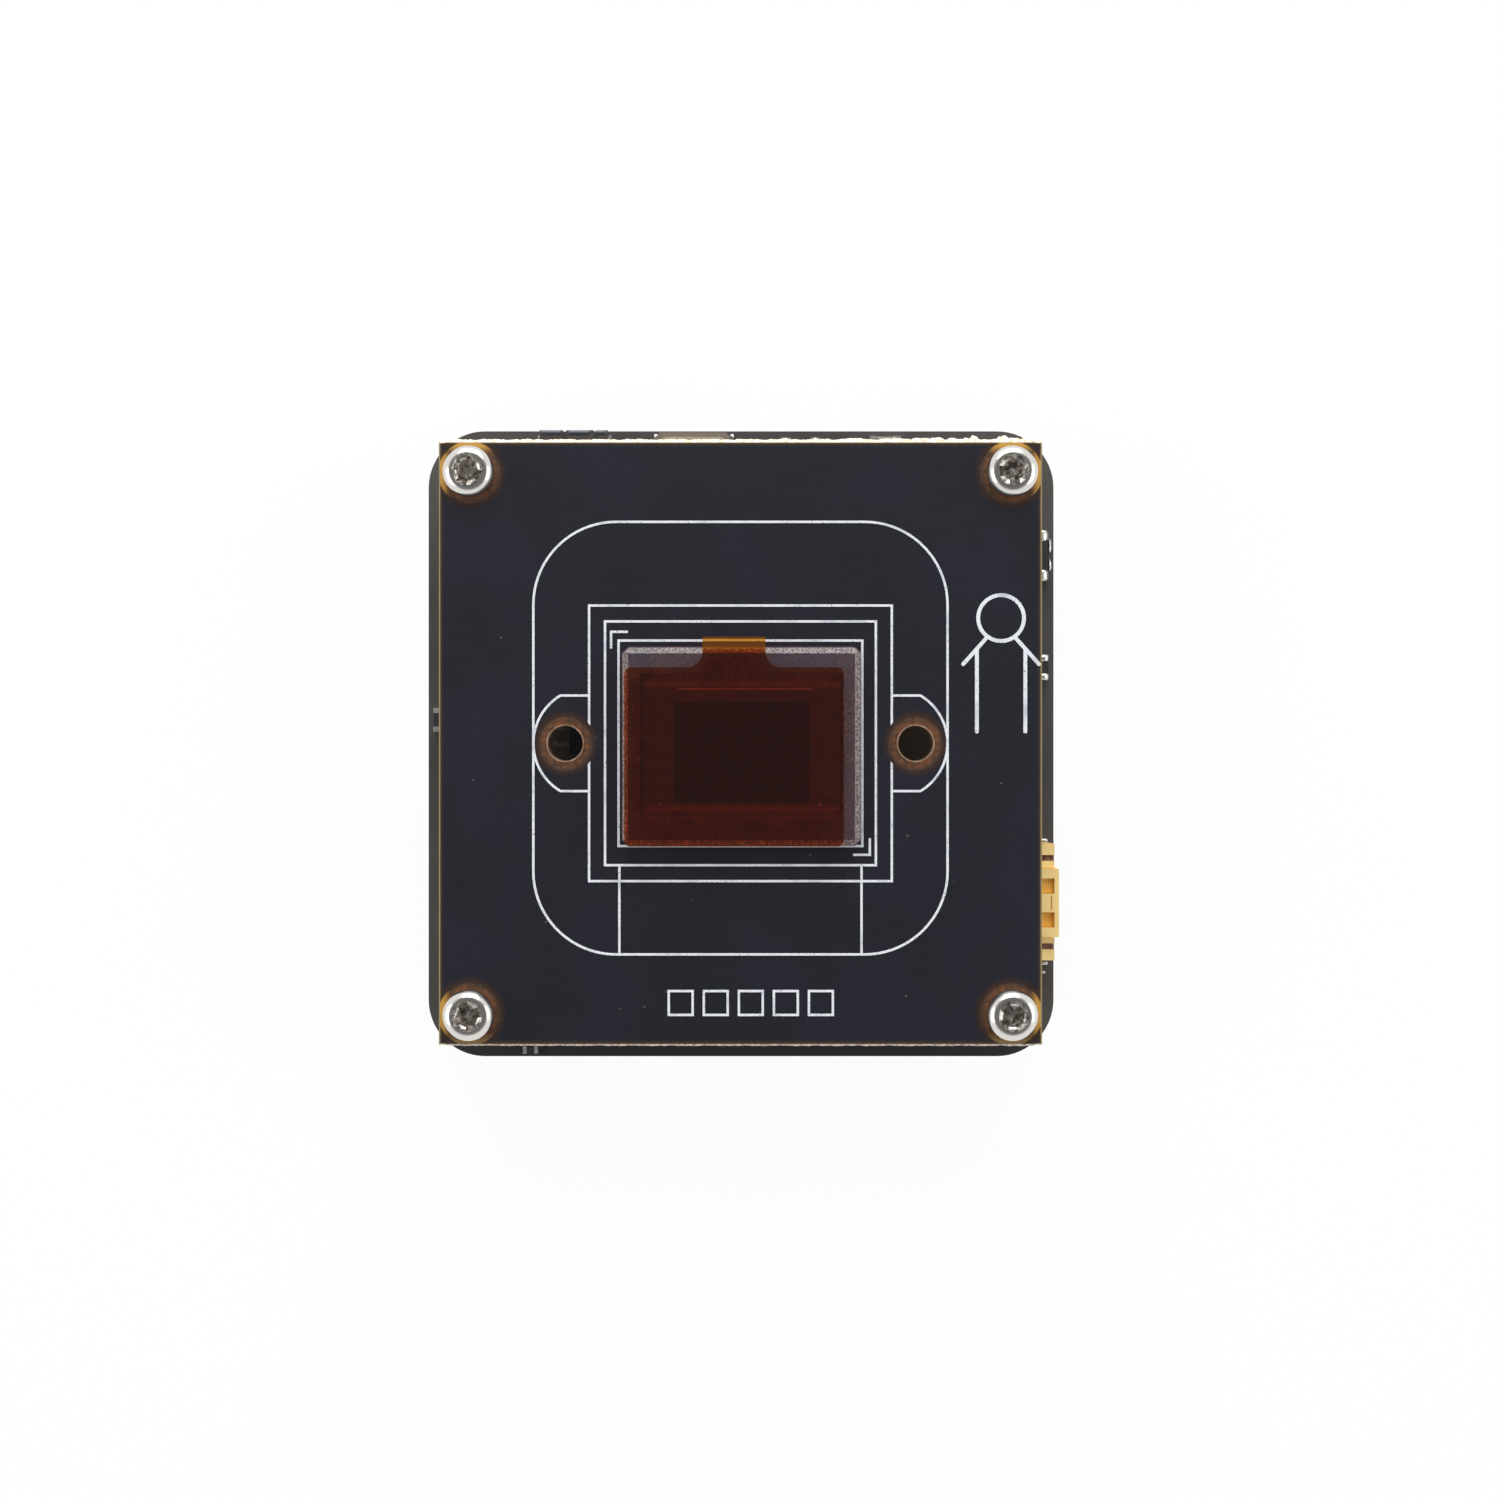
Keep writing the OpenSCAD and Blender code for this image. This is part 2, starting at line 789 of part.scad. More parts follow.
// Pan-head screw: its head's seat is at z = 0 and its thread runs down
module screw(through) {
    round_r = 0.6;
    dish_depth = 0.1;
    recess_depth = 0.6;
    wing_w = 0.6;
    r = screw_head_d / 2;
    dish = r - round_r - 0.05;
    difference() {
        rotate_extrude() {
            square([r, screw_head_h - round_r]);
            difference() {
                square([r - round_r, screw_head_h]);
                translate([0, screw_head_h - dish_depth])
                    polygon([[0, 0], [dish - dish_depth, 0], [dish, dish_depth], [dish, cut], [0, cut]]);
            }
            intersection() {
                translate([r - round_r, screw_head_h - round_r])
                    circle(round_r);
                square([r, screw_head_h]);
            }
        }
        for (turn = [0, 90])
            rotate([0, 0, turn])
                translate([0, 0, screw_head_h - dish_depth])
                    recess_wing(recess_depth, wing_w);
    }
    translate([0, 0, -through - screw_grip])
        cylinder(d = screw_d, h = through + screw_grip);
}

module front_screws() {
    turns = [20, 65, 40, 5];
    color("#c9c9c9")
        for (i = [0 : 3])
            translate(post_places[i])
                rotate([0, 0, turns[i]])
                    screw(sensor_t);
}

neck_clearance = 0.05;
// Gap between a screw and the wall of its hole in a post, both drawn at the thread's outside
thread_fit = 0.02;
// Spare depth of a post's tapped hole below the screw, and the web between its two holes
hole_spare = 0.5;
web_t = 0.8;

// Turned post: body, foot on the main board and a neck through it, tapped from both ends
module post() {
    core = post_core_d / 2;
    front = screw_d / 2 + thread_fit;
    body = post_d / 2;
    foot = post_foot_d / 2;
    neck = post_neck_d / 2;
    edge = 0.2;
    web_top = post_h - screw_grip - hole_spare;
    rotate_extrude()
        polygon([
            [0, web_top], [front, web_top], [front, post_h], [body - edge, post_h], [body, post_h - edge],
            [body, post_foot_t], [foot, post_foot_t], [foot, 0], [neck, 0],
            [neck, -main_t], [core, -main_t], [core, web_top - web_t], [0, web_top - web_t]
        ]);
}

module posts() {
    color("#c8a04a")
        for (p = post_places)
            translate([p[0], p[1], main_face_z])
                post();
}

// Solder collar where each neck comes out at the main board's back
module post_solder() {
    collar = 0.55;
    collar_h = 0.3;
    inner = post_neck_d / 2;
    color("#b9bcc0")
        for (p = post_places)
            translate([p[0], p[1], main_back_z])
                rotate([180, 0, 0])
                    rotate_extrude()
                        polygon([
                            [inner - 0.1, 0], [inner + collar, 0], [inner + collar / 2, collar_h * 0.4],
                            [inner - 0.1, collar_h]
                        ]);
}

// ---- Regulators under the sensor board ----

regulator_size = [1.6, 2.9, 1.05];
regulator_lift = 0.1;
leg_z = 0.5;
leg_t = 0.15;

module sensor_regulators() {
    color("#25262a")
        for (p = regulator_places)
            on_sensor_rear(p[0], p[1])
                moulded_body(regulator_size[0], regulator_size[1], regulator_size[2] - regulator_lift,
                    regulator_lift);
}

module regulator_legs() {
    color("#c8c8c4")
        for (p = regulator_places)
            on_sensor_rear(p[0], p[1])
                leg_rows(regulator_size[0], 0.6, leg_z, 0.4, leg_t, 0.95, 3, 2);
}

// ---- Board-to-board connector ----

mate_wall = 0.7;
mate_overlap = 1.6;
mate_gap = 0.1;
tongue_w = mate_w - 2 * mate_wall - 2 * mate_gap;
tongue_l = 1.4;
socket_h = gap_h - plug_h;
contact_w = 0.3;
contact_t = 0.15;
tail_reach = 0.8;

// Tongue of the plug, which stands in the socket's slot
module board_plug() {
    color("#e8dcc4")
        on_sensor_rear(mate_place[0], mate_place[1]) {
            block(mate_w, mate_l, plug_h);
            block(tongue_w, tongue_l, plug_h + mate_overlap);
        }
}

module board_socket() {
    slot_l = tongue_l + 2 * mate_gap + 2 * contact_t;
    color("#e8dcc4")
        on_main_front(mate_place[0], mate_place[1])
            difference() {
                block(mate_w, mate_l, socket_h);
                translate([0, 0, socket_h - mate_overlap - mate_gap])
                    block(tongue_w + 2 * mate_gap, slot_l, mate_overlap + mate_gap + cut);
            }
}

// Contact tails: each lies on its board and turns up the side of the housing
module contact_row(rise) {
    for (i = [0 : mate_pins - 1], side = [0, 180])
        rotate([0, 0, side])
            translate([(i - (mate_pins - 1) / 2) * mate_pitch - contact_w / 2, mate_l / 2, 0]) {
                cube([contact_w, tail_reach, contact_t]);
                cube([contact_w, contact_t, rise]);
            }
}

module plug_contacts() {
    color("#c9a14e")
        on_sensor_rear(mate_place[0], mate_place[1])
            contact_row(plug_h / 2);
}

module socket_contacts() {
    color("#c9a14e")
        on_main_front(mate_place[0], mate_place[1])
            contact_row(socket_h / 2);
}

// ---- Main board ----

module main_outline() {
    round_rect(main_side, main_side, main_corner_r);
}

module main_board() {
    color("#6f6a4a")
        difference() {
            translate([0, 0, main_back_z])
                linear_extrude(main_t)
                    main_outline();
            for (p = post_places)
                translate([p[0], p[1], main_back_z - cut])
                    cylinder(d = post_neck_d + 2 * neck_clearance, h = main_t + 2 * cut);
        }
}

module main_board_mask() {
    color("#1f2228")
        for (z = [main_face_z, main_rear_z])
            translate([0, 0, z])
                linear_extrude(mask_t)
                    difference() {
                        main_outline();
                        for (p = post_places)
                            translate(p)
                                circle(d = foot_ring_d);
                    }
}

// Polarity marks beside the microphone socket, and a pin-one bar by the service socket
module main_board_legend() {
    mark = 0.9;
    mark_x = main_half - 1;
    plus_y = microphone_y - wafer_overall(microphone_pin_count) / 2 - 1.1;
    minus_y = plus_y - 1.5;
    color("#dcdde4")
        translate([0, 0, main_front_z])
            linear_extrude(ink_t) {
                translate([mark_x, plus_y]) {
                    square([mark, line_w], center = true);
                    square([line_w, mark], center = true);
                }
                translate([mark_x, minus_y])
                    square([line_w, mark], center = true);
            }
}

// ---- Wafer sockets: side-entry, mouth along +X at x = 0, standing on z = 0 ----

ear_back = 0.3;
ear_front = 0.18;
ear_h = 2.7;
ear_lift = 0.2;
slot_w = 0.4;
slot_out = 0.68;
pin_w = 0.3;
pin_z = wafer_h / 2;
pocket_depth = wafer_depth - 1;
pin_end = 0.9;
pin_tail = 1.1;
tail_t = 0.15;

function wafer_body(pins) = (pins - 1) * wafer_pitch + 1.95;
function wafer_overall(pins) = wafer_body(pins) + 2 * wafer_ear_w;
function wafer_span(pins) = wafer_overall(pins) + 2 * tab_reach;
function pin_y(i, pins) = (i - (pins - 1) / 2) * wafer_pitch;

// Housing with a pocket for the plug, two thinned windows and a slit over it, and an ear on each side
module wafer_housing(pins) {
    body = wafer_body(pins);
    window = [2.2, 1];
    window_back = 0.3;
    window_in = 0.62;
    window_y = body / 2 - window_in - window[1] / 2;
    web = 0.15;
    slit = [0.14, 0.92];
    slit_back = 0.45;
    groove = 0.08;
    difference() {
        union() {
            translate([-wafer_depth, -body / 2, 0])
                cube([wafer_depth, body, wafer_h]);
            for (side = [-1, 1])
                translate([ear_back - wafer_depth, (side * (body + wafer_ear_w) - wafer_ear_w) / 2, ear_lift])
                    cube([wafer_depth - ear_back - ear_front, wafer_ear_w, ear_h - ear_lift]);
        }
        translate([-pocket_depth, -body / 2 + wafer_wall, wafer_wall])
            cube([pocket_depth + cut, body - 2 * wafer_wall, wafer_h - 2 * wafer_wall]);
        for (i = [0 : pins - 1])
            wafer_pin_blade(pin_y(i, pins));
        translate([-slit_back - slit[0], -slit[1] / 2, wafer_h - wafer_wall - cut])
            cube([slit[0], slit[1], wafer_wall + 2 * cut]);
        for (side = [-1, 1]) {
            translate([-window_back - window[0], side * window_y - window[1] / 2, wafer_h - wafer_wall + web])
                cube([window[0], window[1], wafer_wall + cut]);
            translate([-wafer_depth - cut, side * body / 2 - groove / 2, ear_h - groove])
                cube([wafer_depth + 2 * cut, groove, groove + cut / 2]);
            wafer_tab_plate(body, side, cut);
        }
    }
}

// Straight part of a pin, from the back wall into the pocket
module wafer_pin_blade(y) {
    translate([-wafer_depth - pin_w, y - pin_w / 2, pin_z - pin_w / 2])
        cube([wafer_depth + pin_w - pin_end, pin_w, pin_w]);
}

module wafer_pins(pins) {
    for (i = [0 : pins - 1]) {
        wafer_pin_blade(pin_y(i, pins));
        translate([-wafer_depth - pin_w, pin_y(i, pins) - pin_w / 2, 0])
            cube([pin_w, pin_w, pin_z + pin_w / 2]);
        translate([-wafer_depth - pin_tail, pin_y(i, pins) - pin_w / 2, 0])
            cube([pin_tail, pin_w, tail_t]);
    }
}

// Upright plate of a solder tab, in the slot of an ear
module wafer_tab_plate(body, side, extra = 0) {
    y = side * (body / 2 + slot_out) - slot_w / 2;
    translate([-wafer_depth + 1, y, 0])
        cube([wafer_depth - 1 - ear_front, slot_w, ear_h - 0.25 + extra]);
}

module wafer_tabs(pins) {
    body = wafer_body(pins);
    foot = wafer_ear_w - slot_out + tab_reach;
    for (side = [-1, 1]) {
        wafer_tab_plate(body, side);
        translate([-wafer_depth + 1, side * (body / 2 + slot_out + foot / 2) - foot / 2, 0])
            cube([wafer_depth - 1.6, foot, tail_t]);
    }
}

// ---- Microphone socket on the main board's front, at its right edge ----

module at_microphone() {
    on_main_front(main_half - mouth_inset, microphone_y)
        children();
}

module microphone_socket() {
    color("#eccb95")
        at_microphone()
            wafer_housing(microphone_pin_count);
}

module microphone_pins() {
    color("#cfc8b8")
        at_microphone()
            wafer_pins(microphone_pin_count);
}

module microphone_tabs() {
    color("#b9a98c")
        at_microphone()
            wafer_tabs(microphone_pin_count);
}

// ---- Black service socket on the main board's front, at its top edge ----

service_depth = 3;
service_pin_count = 3;
service_pitch = 1;
service_wall = 0.3;
service_pin_w = 0.25;

module at_service() {
    on_main_front(service_x, main_half - mouth_inset, 90)
        children();
}

module service_blade(i) {
    translate([
        -service_depth - service_pin_w,
        (i - (service_pin_count - 1) / 2) * service_pitch - service_pin_w / 2,
        service_h / 2 - service_pin_w / 2
    ])
        cube([service_depth + service_pin_w - 0.6, service_pin_w, service_pin_w]);
}

module service_socket() {
    slit = 0.25;
    color("#202226")
        at_service()
            difference() {
                translate([-service_depth, -service_w / 2, 0])
                    cube([service_depth, service_w, service_h]);
                translate([-service_depth + 0.7, -service_w / 2 + service_wall, service_wall])
                    cube([service_depth, service_w - 2 * service_wall, service_h - 2 * service_wall]);
                for (y = [-1.45, 0.6])
                    translate([-1.6, y - slit / 2, service_h - service_wall - cut])
                        cube([1.6 + cut, slit, service_wall + 2 * cut]);
                for (i = [0 : service_pin_count - 1])
                    service_blade(i);
            }
}

module service_pins() {
    color("#cfc8b8")
        at_service()
            for (i = [0 : service_pin_count - 1]) {
                service_blade(i);
                translate([
                    -service_depth - service_pin_w,
                    (i - (service_pin_count - 1) / 2) * service_pitch - service_pin_w / 2,
                    0
                ])
                    cube([service_pin_w, service_pin_w, service_h / 2]);
                translate([
                    -service_depth - 0.8,
                    (i - (service_pin_count - 1) / 2) * service_pitch - service_pin_w / 2,
                    0
                ])
                    cube([0.8, service_pin_w, tail_t]);
            }
}

module service_tabs() {
    back = 1.8;
    color("#d8d8d4")
        at_service()
            for (side = [-1, 1])
                translate([-back, side * (service_w + service_tab[1]) / 2 - service_tab[1] / 2, 0])
                    cube(service_tab);
}

// ---- Crystals: ceramic tub with a welded lid, [width, length, height] ----

crystal_lid_t = 0.15;
crystal_margin = 0.35;

module crystal_base(size) {
    notch = 0.25;
    difference() {
        block(size[0], size[1], size[2] - crystal_lid_t);
        for (x = [-1, 1], y = [-1, 1])
            translate([x * size[0] / 2, y * size[1] / 2, -cut])
                cylinder(r = notch, h = size[2] + 2 * cut);
    }
}

module crystal_lid(size) {
    translate([0, 0, size[2] - crystal_lid_t])
        linear_extrude(crystal_lid_t)
            round_rect(size[0] - 2 * crystal_margin, size[1] - 2 * crystal_margin, 0.3);
}

module at_crystals() {
    on_main_front(clock_place[0], clock_place[1])
        children(0);
    on_sensor_rear(sensor_crystal_place[0], sensor_crystal_place[1])
        children(1);
    on_main_rear(rear_crystal_place[0], rear_crystal_place[1])
        children(1);
}

module crystal_bases() {
    color("#7c7064")
        at_crystals() {
            crystal_base(clock_size);
            crystal_base(small_crystal_size);
        }
}

module crystal_lids() {
    color("#c4c4c0")
        at_crystals() {
            crystal_lid(clock_size);
            crystal_lid(small_crystal_size);
        }
}

// ---- Network transformer ----

transformer_size = [6.8, 9.6];
transformer_lift = 0.15;

module network_transformer() {
    color("#1f1f22")
        on_main_front(transformer_place[0], transformer_place[1])
            moulded_body(transformer_size[0], transformer_size[1], transformer_h - transformer_lift,
                transformer_lift);
}

module transformer_legs() {
    color("#c8c8c4")
        on_main_front(transformer_place[0], transformer_place[1])
            leg_rows(transformer_size[0], 1.2, 0.9, 0.45, 0.2, 1.15, 8, 8);
}

// ---- Chips on the main board's rear ----

substrate_t = 0.35;
flash_lift = 0.1;
converter_shift = -0.6;

module processor_substrate() {
    color("#2f4a36")
        on_main_rear(processor_place[0], processor_place[1])
            block(processor_side, processor_side, substrate_t);
}

module processor() {
    margin = 0.5;
    side = processor_side - 2 * margin;
    color("#2a2a2d")
        on_main_rear(processor_place[0], processor_place[1])
            translate([0, 0, substrate_t])
                linear_extrude(processor_t - substrate_t)
                    chamfered_rect(side, side, margin);
}

module memory_chip() {
    color("#2a2a2d")
        on_main_rear(memory_place[0], memory_place[1])
            block(memory_size[0], memory_size[1], memory_size[2]);
}

module flash_chip() {
    color("#25262a")
        on_main_rear(flash_place[0], flash_place[1])
            moulded_body(flash_size[0], flash_size[1], flash_size[2] - flash_lift, flash_lift);
}

module flash_legs() {
    color("#c8c8c4")
        on_main_rear(flash_place[0], flash_place[1])
            leg_rows(flash_size[0], flash_reach, 0.85, 0.42, 0.2, 1.27, 4, 4);
}

inductor_end_t = 0.15;
inductor_end_w = 1.1;

module power_inductors() {
    chamfer = 0.6;
    color("#4a4a4d")
        for (x = power_x)
            on_main_rear(x, inductor_y)
                difference() {
                    translate([0, 0, inductor_end_t])
                        linear_extrude(inductor_h - inductor_end_t)
                            chamfered_rect(inductor_side, inductor_side, chamfer);
                    translate([0, 0, inductor_h - 0.15])
                        cylinder(d = inductor_side * 0.65, h = cut);
                }
}

module inductor_ends() {
    color("#c8c8c4")
        for (x = power_x, side = [-1, 1])
            on_main_rear(x + side * (inductor_side - inductor_end_w) / 2, inductor_y)
                block(inductor_end_w, inductor_side - 1.2, inductor_end_t);
}

module power_converters() {
    color("#25262a")
        for (x = power_x)
            on_main_rear(x + converter_shift, converter_y, 90)
                moulded_body(regulator_size[0], regulator_size[1], regulator_size[2] - regulator_lift,
                    regulator_lift);
}

module converter_legs() {
    color("#c8c8c4")
        for (x = power_x)
            on_main_rear(x + converter_shift, converter_y, 90)
                leg_rows(regulator_size[0], 0.6, leg_z, 0.4, leg_t, 0.95, 3, 3);
}

// ---- Rear sockets: [pins, x, y, turn] for one at each edge ----

network = [8, -1, -main_half + mouth_inset, -90];
audio = [5, 3, main_half - mouth_inset, 90];
light = [4, main_half - mouth_inset, -1, 0];
filter = [2, -main_half + mouth_inset, 4, 180];

module at_rear_socket(s) {
    on_main_rear(s[1], s[2], s[3])
        children();
}

module network_socket() {
    color("#efe6d2")
        at_rear_socket(network)
            wafer_housing(network[0]);
}

module network_pins() {
    color("#cfc8b8")
        at_rear_socket(network)
            wafer_pins(network[0]);
}

module audio_socket() {
    color("#efe6d2")
        at_rear_socket(audio)
            wafer_housing(audio[0]);
}

module audio_pins() {
    color("#cfc8b8")
        at_rear_socket(audio)
            wafer_pins(audio[0]);
}

module light_socket() {
    color("#efe6d2")
        at_rear_socket(light)
            wafer_housing(light[0]);
}

module light_pins() {
    color("#cfc8b8")
        at_rear_socket(light)
            wafer_pins(light[0]);
}

module filter_socket() {
    color("#efe6d2")
        at_rear_socket(filter)
            wafer_housing(filter[0]);
}

module filter_pins() {
    color("#cfc8b8")
        at_rear_socket(filter)
            wafer_pins(filter[0]);
}

module rear_socket_tabs() {
    color("#b9b9b4")
        for (s = [network, audio, light, filter])
            at_rear_socket(s)
                wafer_tabs(s[0]);
}

sensor_board();
sensor_board_mask();
sensor_board_legend();
lens_hole_rims();
sensor_package();
sensor_die();
pixel_area();
cover_glass();
protective_film();
front_screws();
posts();
post_solder();
sensor_capacitors();
sensor_capacitor_ends();
sensor_regulators();
regulator_legs();
board_plug();
plug_contacts();
board_socket();
socket_contacts();
main_board();
main_board_mask();
main_board_legend();
microphone_socket();
microphone_pins();
microphone_tabs();
service_socket();
service_pins();
service_tabs();
crystal_bases();
crystal_lids();
network_transformer();
transformer_legs();
front_capacitors();
front_capacitor_ends();
front_resistors();
front_resistor_ends();
processor();
processor_substrate();
memory_chip();
flash_chip();
flash_legs();
power_inductors();
inductor_ends();
power_converters();
converter_legs();
rear_capacitors();
rear_capacitor_ends();
network_socket();
network_pins();
audio_socket();
audio_pins();
light_socket();
light_pins();
filter_socket();
filter_pins();
rear_socket_tabs();
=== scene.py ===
"""Camera module: finishes, small formed pieces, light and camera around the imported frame."""

import json
from functools import partial

import bmesh
import bpy
import numpy as np
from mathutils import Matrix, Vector

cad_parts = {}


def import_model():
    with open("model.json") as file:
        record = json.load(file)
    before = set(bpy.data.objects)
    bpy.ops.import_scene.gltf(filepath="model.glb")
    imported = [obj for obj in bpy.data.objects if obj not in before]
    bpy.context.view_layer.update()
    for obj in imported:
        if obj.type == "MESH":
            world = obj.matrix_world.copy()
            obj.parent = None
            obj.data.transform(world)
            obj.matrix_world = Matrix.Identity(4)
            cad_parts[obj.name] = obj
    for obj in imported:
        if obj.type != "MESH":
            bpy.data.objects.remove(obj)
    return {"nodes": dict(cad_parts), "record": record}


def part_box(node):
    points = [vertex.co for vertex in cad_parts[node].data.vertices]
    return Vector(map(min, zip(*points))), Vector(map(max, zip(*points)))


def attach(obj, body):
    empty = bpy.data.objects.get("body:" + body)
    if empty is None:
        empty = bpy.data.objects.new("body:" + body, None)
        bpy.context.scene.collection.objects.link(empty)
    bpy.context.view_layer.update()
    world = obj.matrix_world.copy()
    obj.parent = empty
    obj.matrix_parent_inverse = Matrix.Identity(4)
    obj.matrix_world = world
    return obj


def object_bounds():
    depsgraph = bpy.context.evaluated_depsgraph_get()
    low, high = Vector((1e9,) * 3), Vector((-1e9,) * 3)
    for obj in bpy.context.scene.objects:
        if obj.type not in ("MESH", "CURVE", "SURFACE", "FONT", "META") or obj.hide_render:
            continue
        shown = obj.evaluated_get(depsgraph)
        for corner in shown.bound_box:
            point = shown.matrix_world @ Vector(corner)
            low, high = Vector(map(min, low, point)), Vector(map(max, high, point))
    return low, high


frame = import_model()
cad_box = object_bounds()
nodes = frame["nodes"]

MM = 0.001
rng = np.random.default_rng(7)

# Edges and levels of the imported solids, in metres
BOARD_LOW, BOARD_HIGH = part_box("sensor_board")
MAIN_LOW, MAIN_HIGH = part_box("main_board")
MASK_LOW, MASK_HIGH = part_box("main_board_mask")
GLASS_LOW, GLASS_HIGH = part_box("cover_glass")
DIE_LOW, DIE_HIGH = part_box("sensor_die")
FILM_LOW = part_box("protective_film")[0]
SOCKET_LOW, SOCKET_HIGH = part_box("microphone_socket")
SERVICE_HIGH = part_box("service_socket")[1]
TABS_LOW, TABS_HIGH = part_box("microphone_tabs")
BOARD_HALF = BOARD_HIGH[0]
BETWEEN_BOARDS = (BOARD_LOW[2] + MAIN_HIGH[2]) / 2
# Faces of the solder mask that chips stand on
FRONT, REAR, SENSOR_REAR = MASK_HIGH[2], MASK_LOW[2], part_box("sensor_board_mask")[0][2]
# Distance from the middle to each screw along X and along Y, and to each lens holder hole along X
SCREW_HEAD_R = 1.6 * MM
SCREW_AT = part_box("front_screws")[1][0] - SCREW_HEAD_R
HOLE_AT = 11 * MM
# Radii of the bare rings round the lens holder holes and round the screws
HOLE_RING_R, SCREW_RING_R = 1.75 * MM, 2.0 * MM


# ---- Materials ----

def linear(colour):
    """An sRGB hex colour as linear RGBA."""
    srgb = np.array([int(colour[i : i + 2], 16) for i in (1, 3, 5)]) / 255
    rgb = np.where(srgb <= 0.04045, srgb / 12.92, ((srgb + 0.055) / 1.055) ** 2.4)
    return (*rgb.tolist(), 1.0)


def per(size_mm):
    """Scale of a noise or cell pattern whose features are size_mm apart, on coordinates in metres."""
    return 1 / (size_mm * MM)


def bands(pitch_mm):
    """Scale of a wave pattern whose bands are pitch_mm apart, on coordinates in metres."""
    return 2 * np.pi / 20 / (pitch_mm * MM)


def add(tree, kind, inputs=None, out=0, stops=(), **settings):
    """Adds a node with its settings, values, links and colour stops, and gives one of its outputs."""
    made = tree.nodes.new("ShaderNode" + kind)
    for name, value in settings.items():
        setattr(made, name, value)
    for name, value in (inputs or {}).items():
        if isinstance(value, bpy.types.NodeSocket):
            tree.links.new(value, made.inputs[name])
        else:
            made.inputs[name].default_value = linear(value) if isinstance(value, str) else value
    for index, (position, colour) in enumerate(stops):
        ramp = made.color_ramp.elements
        stop = ramp[index] if index < 2 else ramp.new(position)
        stop.position, stop.color = position, linear(colour)
    return made.outputs[out] if made.outputs else None


def finish(name, look, *values, through=None):
    """A material whose shader takes its inputs from look(node, place, *values), on Object coordinates;
    rays from lamps pass each face of a clear one with the colour through, so that what it covers is lit."""
    material = bpy.data.materials.new(name)
    material.use_nodes = True
    tree = material.node_tree
    tree.nodes.clear()
    node = partial(add, tree)
    place = node("TexCoord", out="Object")
    surface = node("BsdfPrincipled", look(node, place, *values))
    if through:
        lamps = node("LightPath", out="Is Shadow Ray")
        surface = node("MixShader", {0: lamps, 1: surface, 2: node("BsdfTransparent", {"Color": through})})
    node("OutputMaterial", {"Surface": surface})
    return material


def away(node, place, x, y):
    """Distance in plan from a point to the nearest of (x, y) and its mirror images in both axes."""
    fold = node("VectorMath", {0: place}, operation="ABSOLUTE")
    flat = node("VectorMath", {0: fold, 1: (1.0, 1.0, 0.0)}, operation="MULTIPLY")
    return node("VectorMath", {0: flat, 1: (x, y, 0.0)}, "Value", operation="DISTANCE")


def past_ring(node, place):
    """How far a point lies outside the nearest of the bare rings."""
    past_screw = node("Math", {0: away(node, place, SCREW_AT, SCREW_AT), 1: SCREW_RING_R}, operation="SUBTRACT")
    past_hole = node("Math", {0: away(node, place, HOLE_AT, 0.0), 1: HOLE_RING_R}, operation="SUBTRACT")
    return node("Math", {0: past_screw, 1: past_hole}, operation="MINIMUM")


def from_middle(node, place):
    """The larger of a point's distances from the middle along X and along Y, which is even along a board's rim."""
    fold = node("VectorMath", {0: place}, operation="ABSOLUTE")
    x, y, _ = node("SeparateXYZ", {"Vector": fold}).node.outputs
    return node("Math", {0: x, 1: y}, operation="MAXIMUM")


def dust(node, place):
    """Specks of about 0.1 mm, one every ten square millimetres: 1 on a speck and 0 off it."""
    cell = node("TexVoronoi", {"Vector": place, "Scale": per(1.5)}).node.outputs
    near = node("Math", {0: cell["Distance"], 1: 0.05}, operation="LESS_THAN")
    chance = node("SeparateXYZ", {"Vector": cell["Color"]})
    few = node("Math", {0: chance, 1: 0.8}, operation="GREATER_THAN")
    return node("Math", {0: near, 1: few}, operation="MULTIPLY")


def solder_mask(node, place, dark, light, rough):
    """Solder mask: liquid epoxy screened on and cured, semi-gloss over a shallow orange peel, with some dust;
    it thins to brown round the bare rings and, over pale glass cloth, to olive along the rim."""
    cloud = node("TexNoise", {"Vector": place, "Scale": per(7), "Detail": 3.0})
    tone = node("ValToRGB", {"Fac": cloud}, stops=((0.35, dark), (0.68, light)))
    faint = node("Math", {0: dust(node, place), 1: 0.22}, operation="MULTIPLY")
    tone = node("Mix", {0: faint, 6: tone, 7: "#9a958c"}, 2, data_type="RGBA")
    thin = node("MapRange", {"Value": past_ring(node, place), "From Min": 0.4 * MM, "From Max": 0.0, "To Max": 0.7},
                interpolation_type="SMOOTHSTEP")
    tone = node("Mix", {0: thin, 6: tone, 7: "#3a2515"}, 2, data_type="RGBA")
    # Only the front board has the olive rim
    rim = node("MapRange", {"Value": from_middle(node, place), "From Min": BOARD_HALF - 0.5 * MM,
                            "From Max": BOARD_HALF - 0.15 * MM})
    steep = node("Math", {0: rim, 1: 3.0}, operation="POWER")
    level = node("SeparateXYZ", {"Vector": place}, "Z")
    front = node("Math", {0: level, 1: BETWEEN_BOARDS}, operation="GREATER_THAN")
    olive = node("Math", {0: steep, 1: front}, operation="MULTIPLY")
    colour = node("Mix", {0: olive, 6: tone, 7: "#453820"}, 2, data_type="RGBA")
    peel = node("TexNoise", {"Vector": place, "Scale": per(0.5), "Detail": 2.0})
    gloss = node("MapRange", {"Value": peel, "To Min": rough - 0.05, "To Max": rough + 0.05})
    bump = node("Bump", {"Height": peel, "Distance": 0.002 * MM, "Strength": 0.6})
    return {"Base Color": colour, "Roughness": gloss, "IOR": 1.45, "Normal": bump}


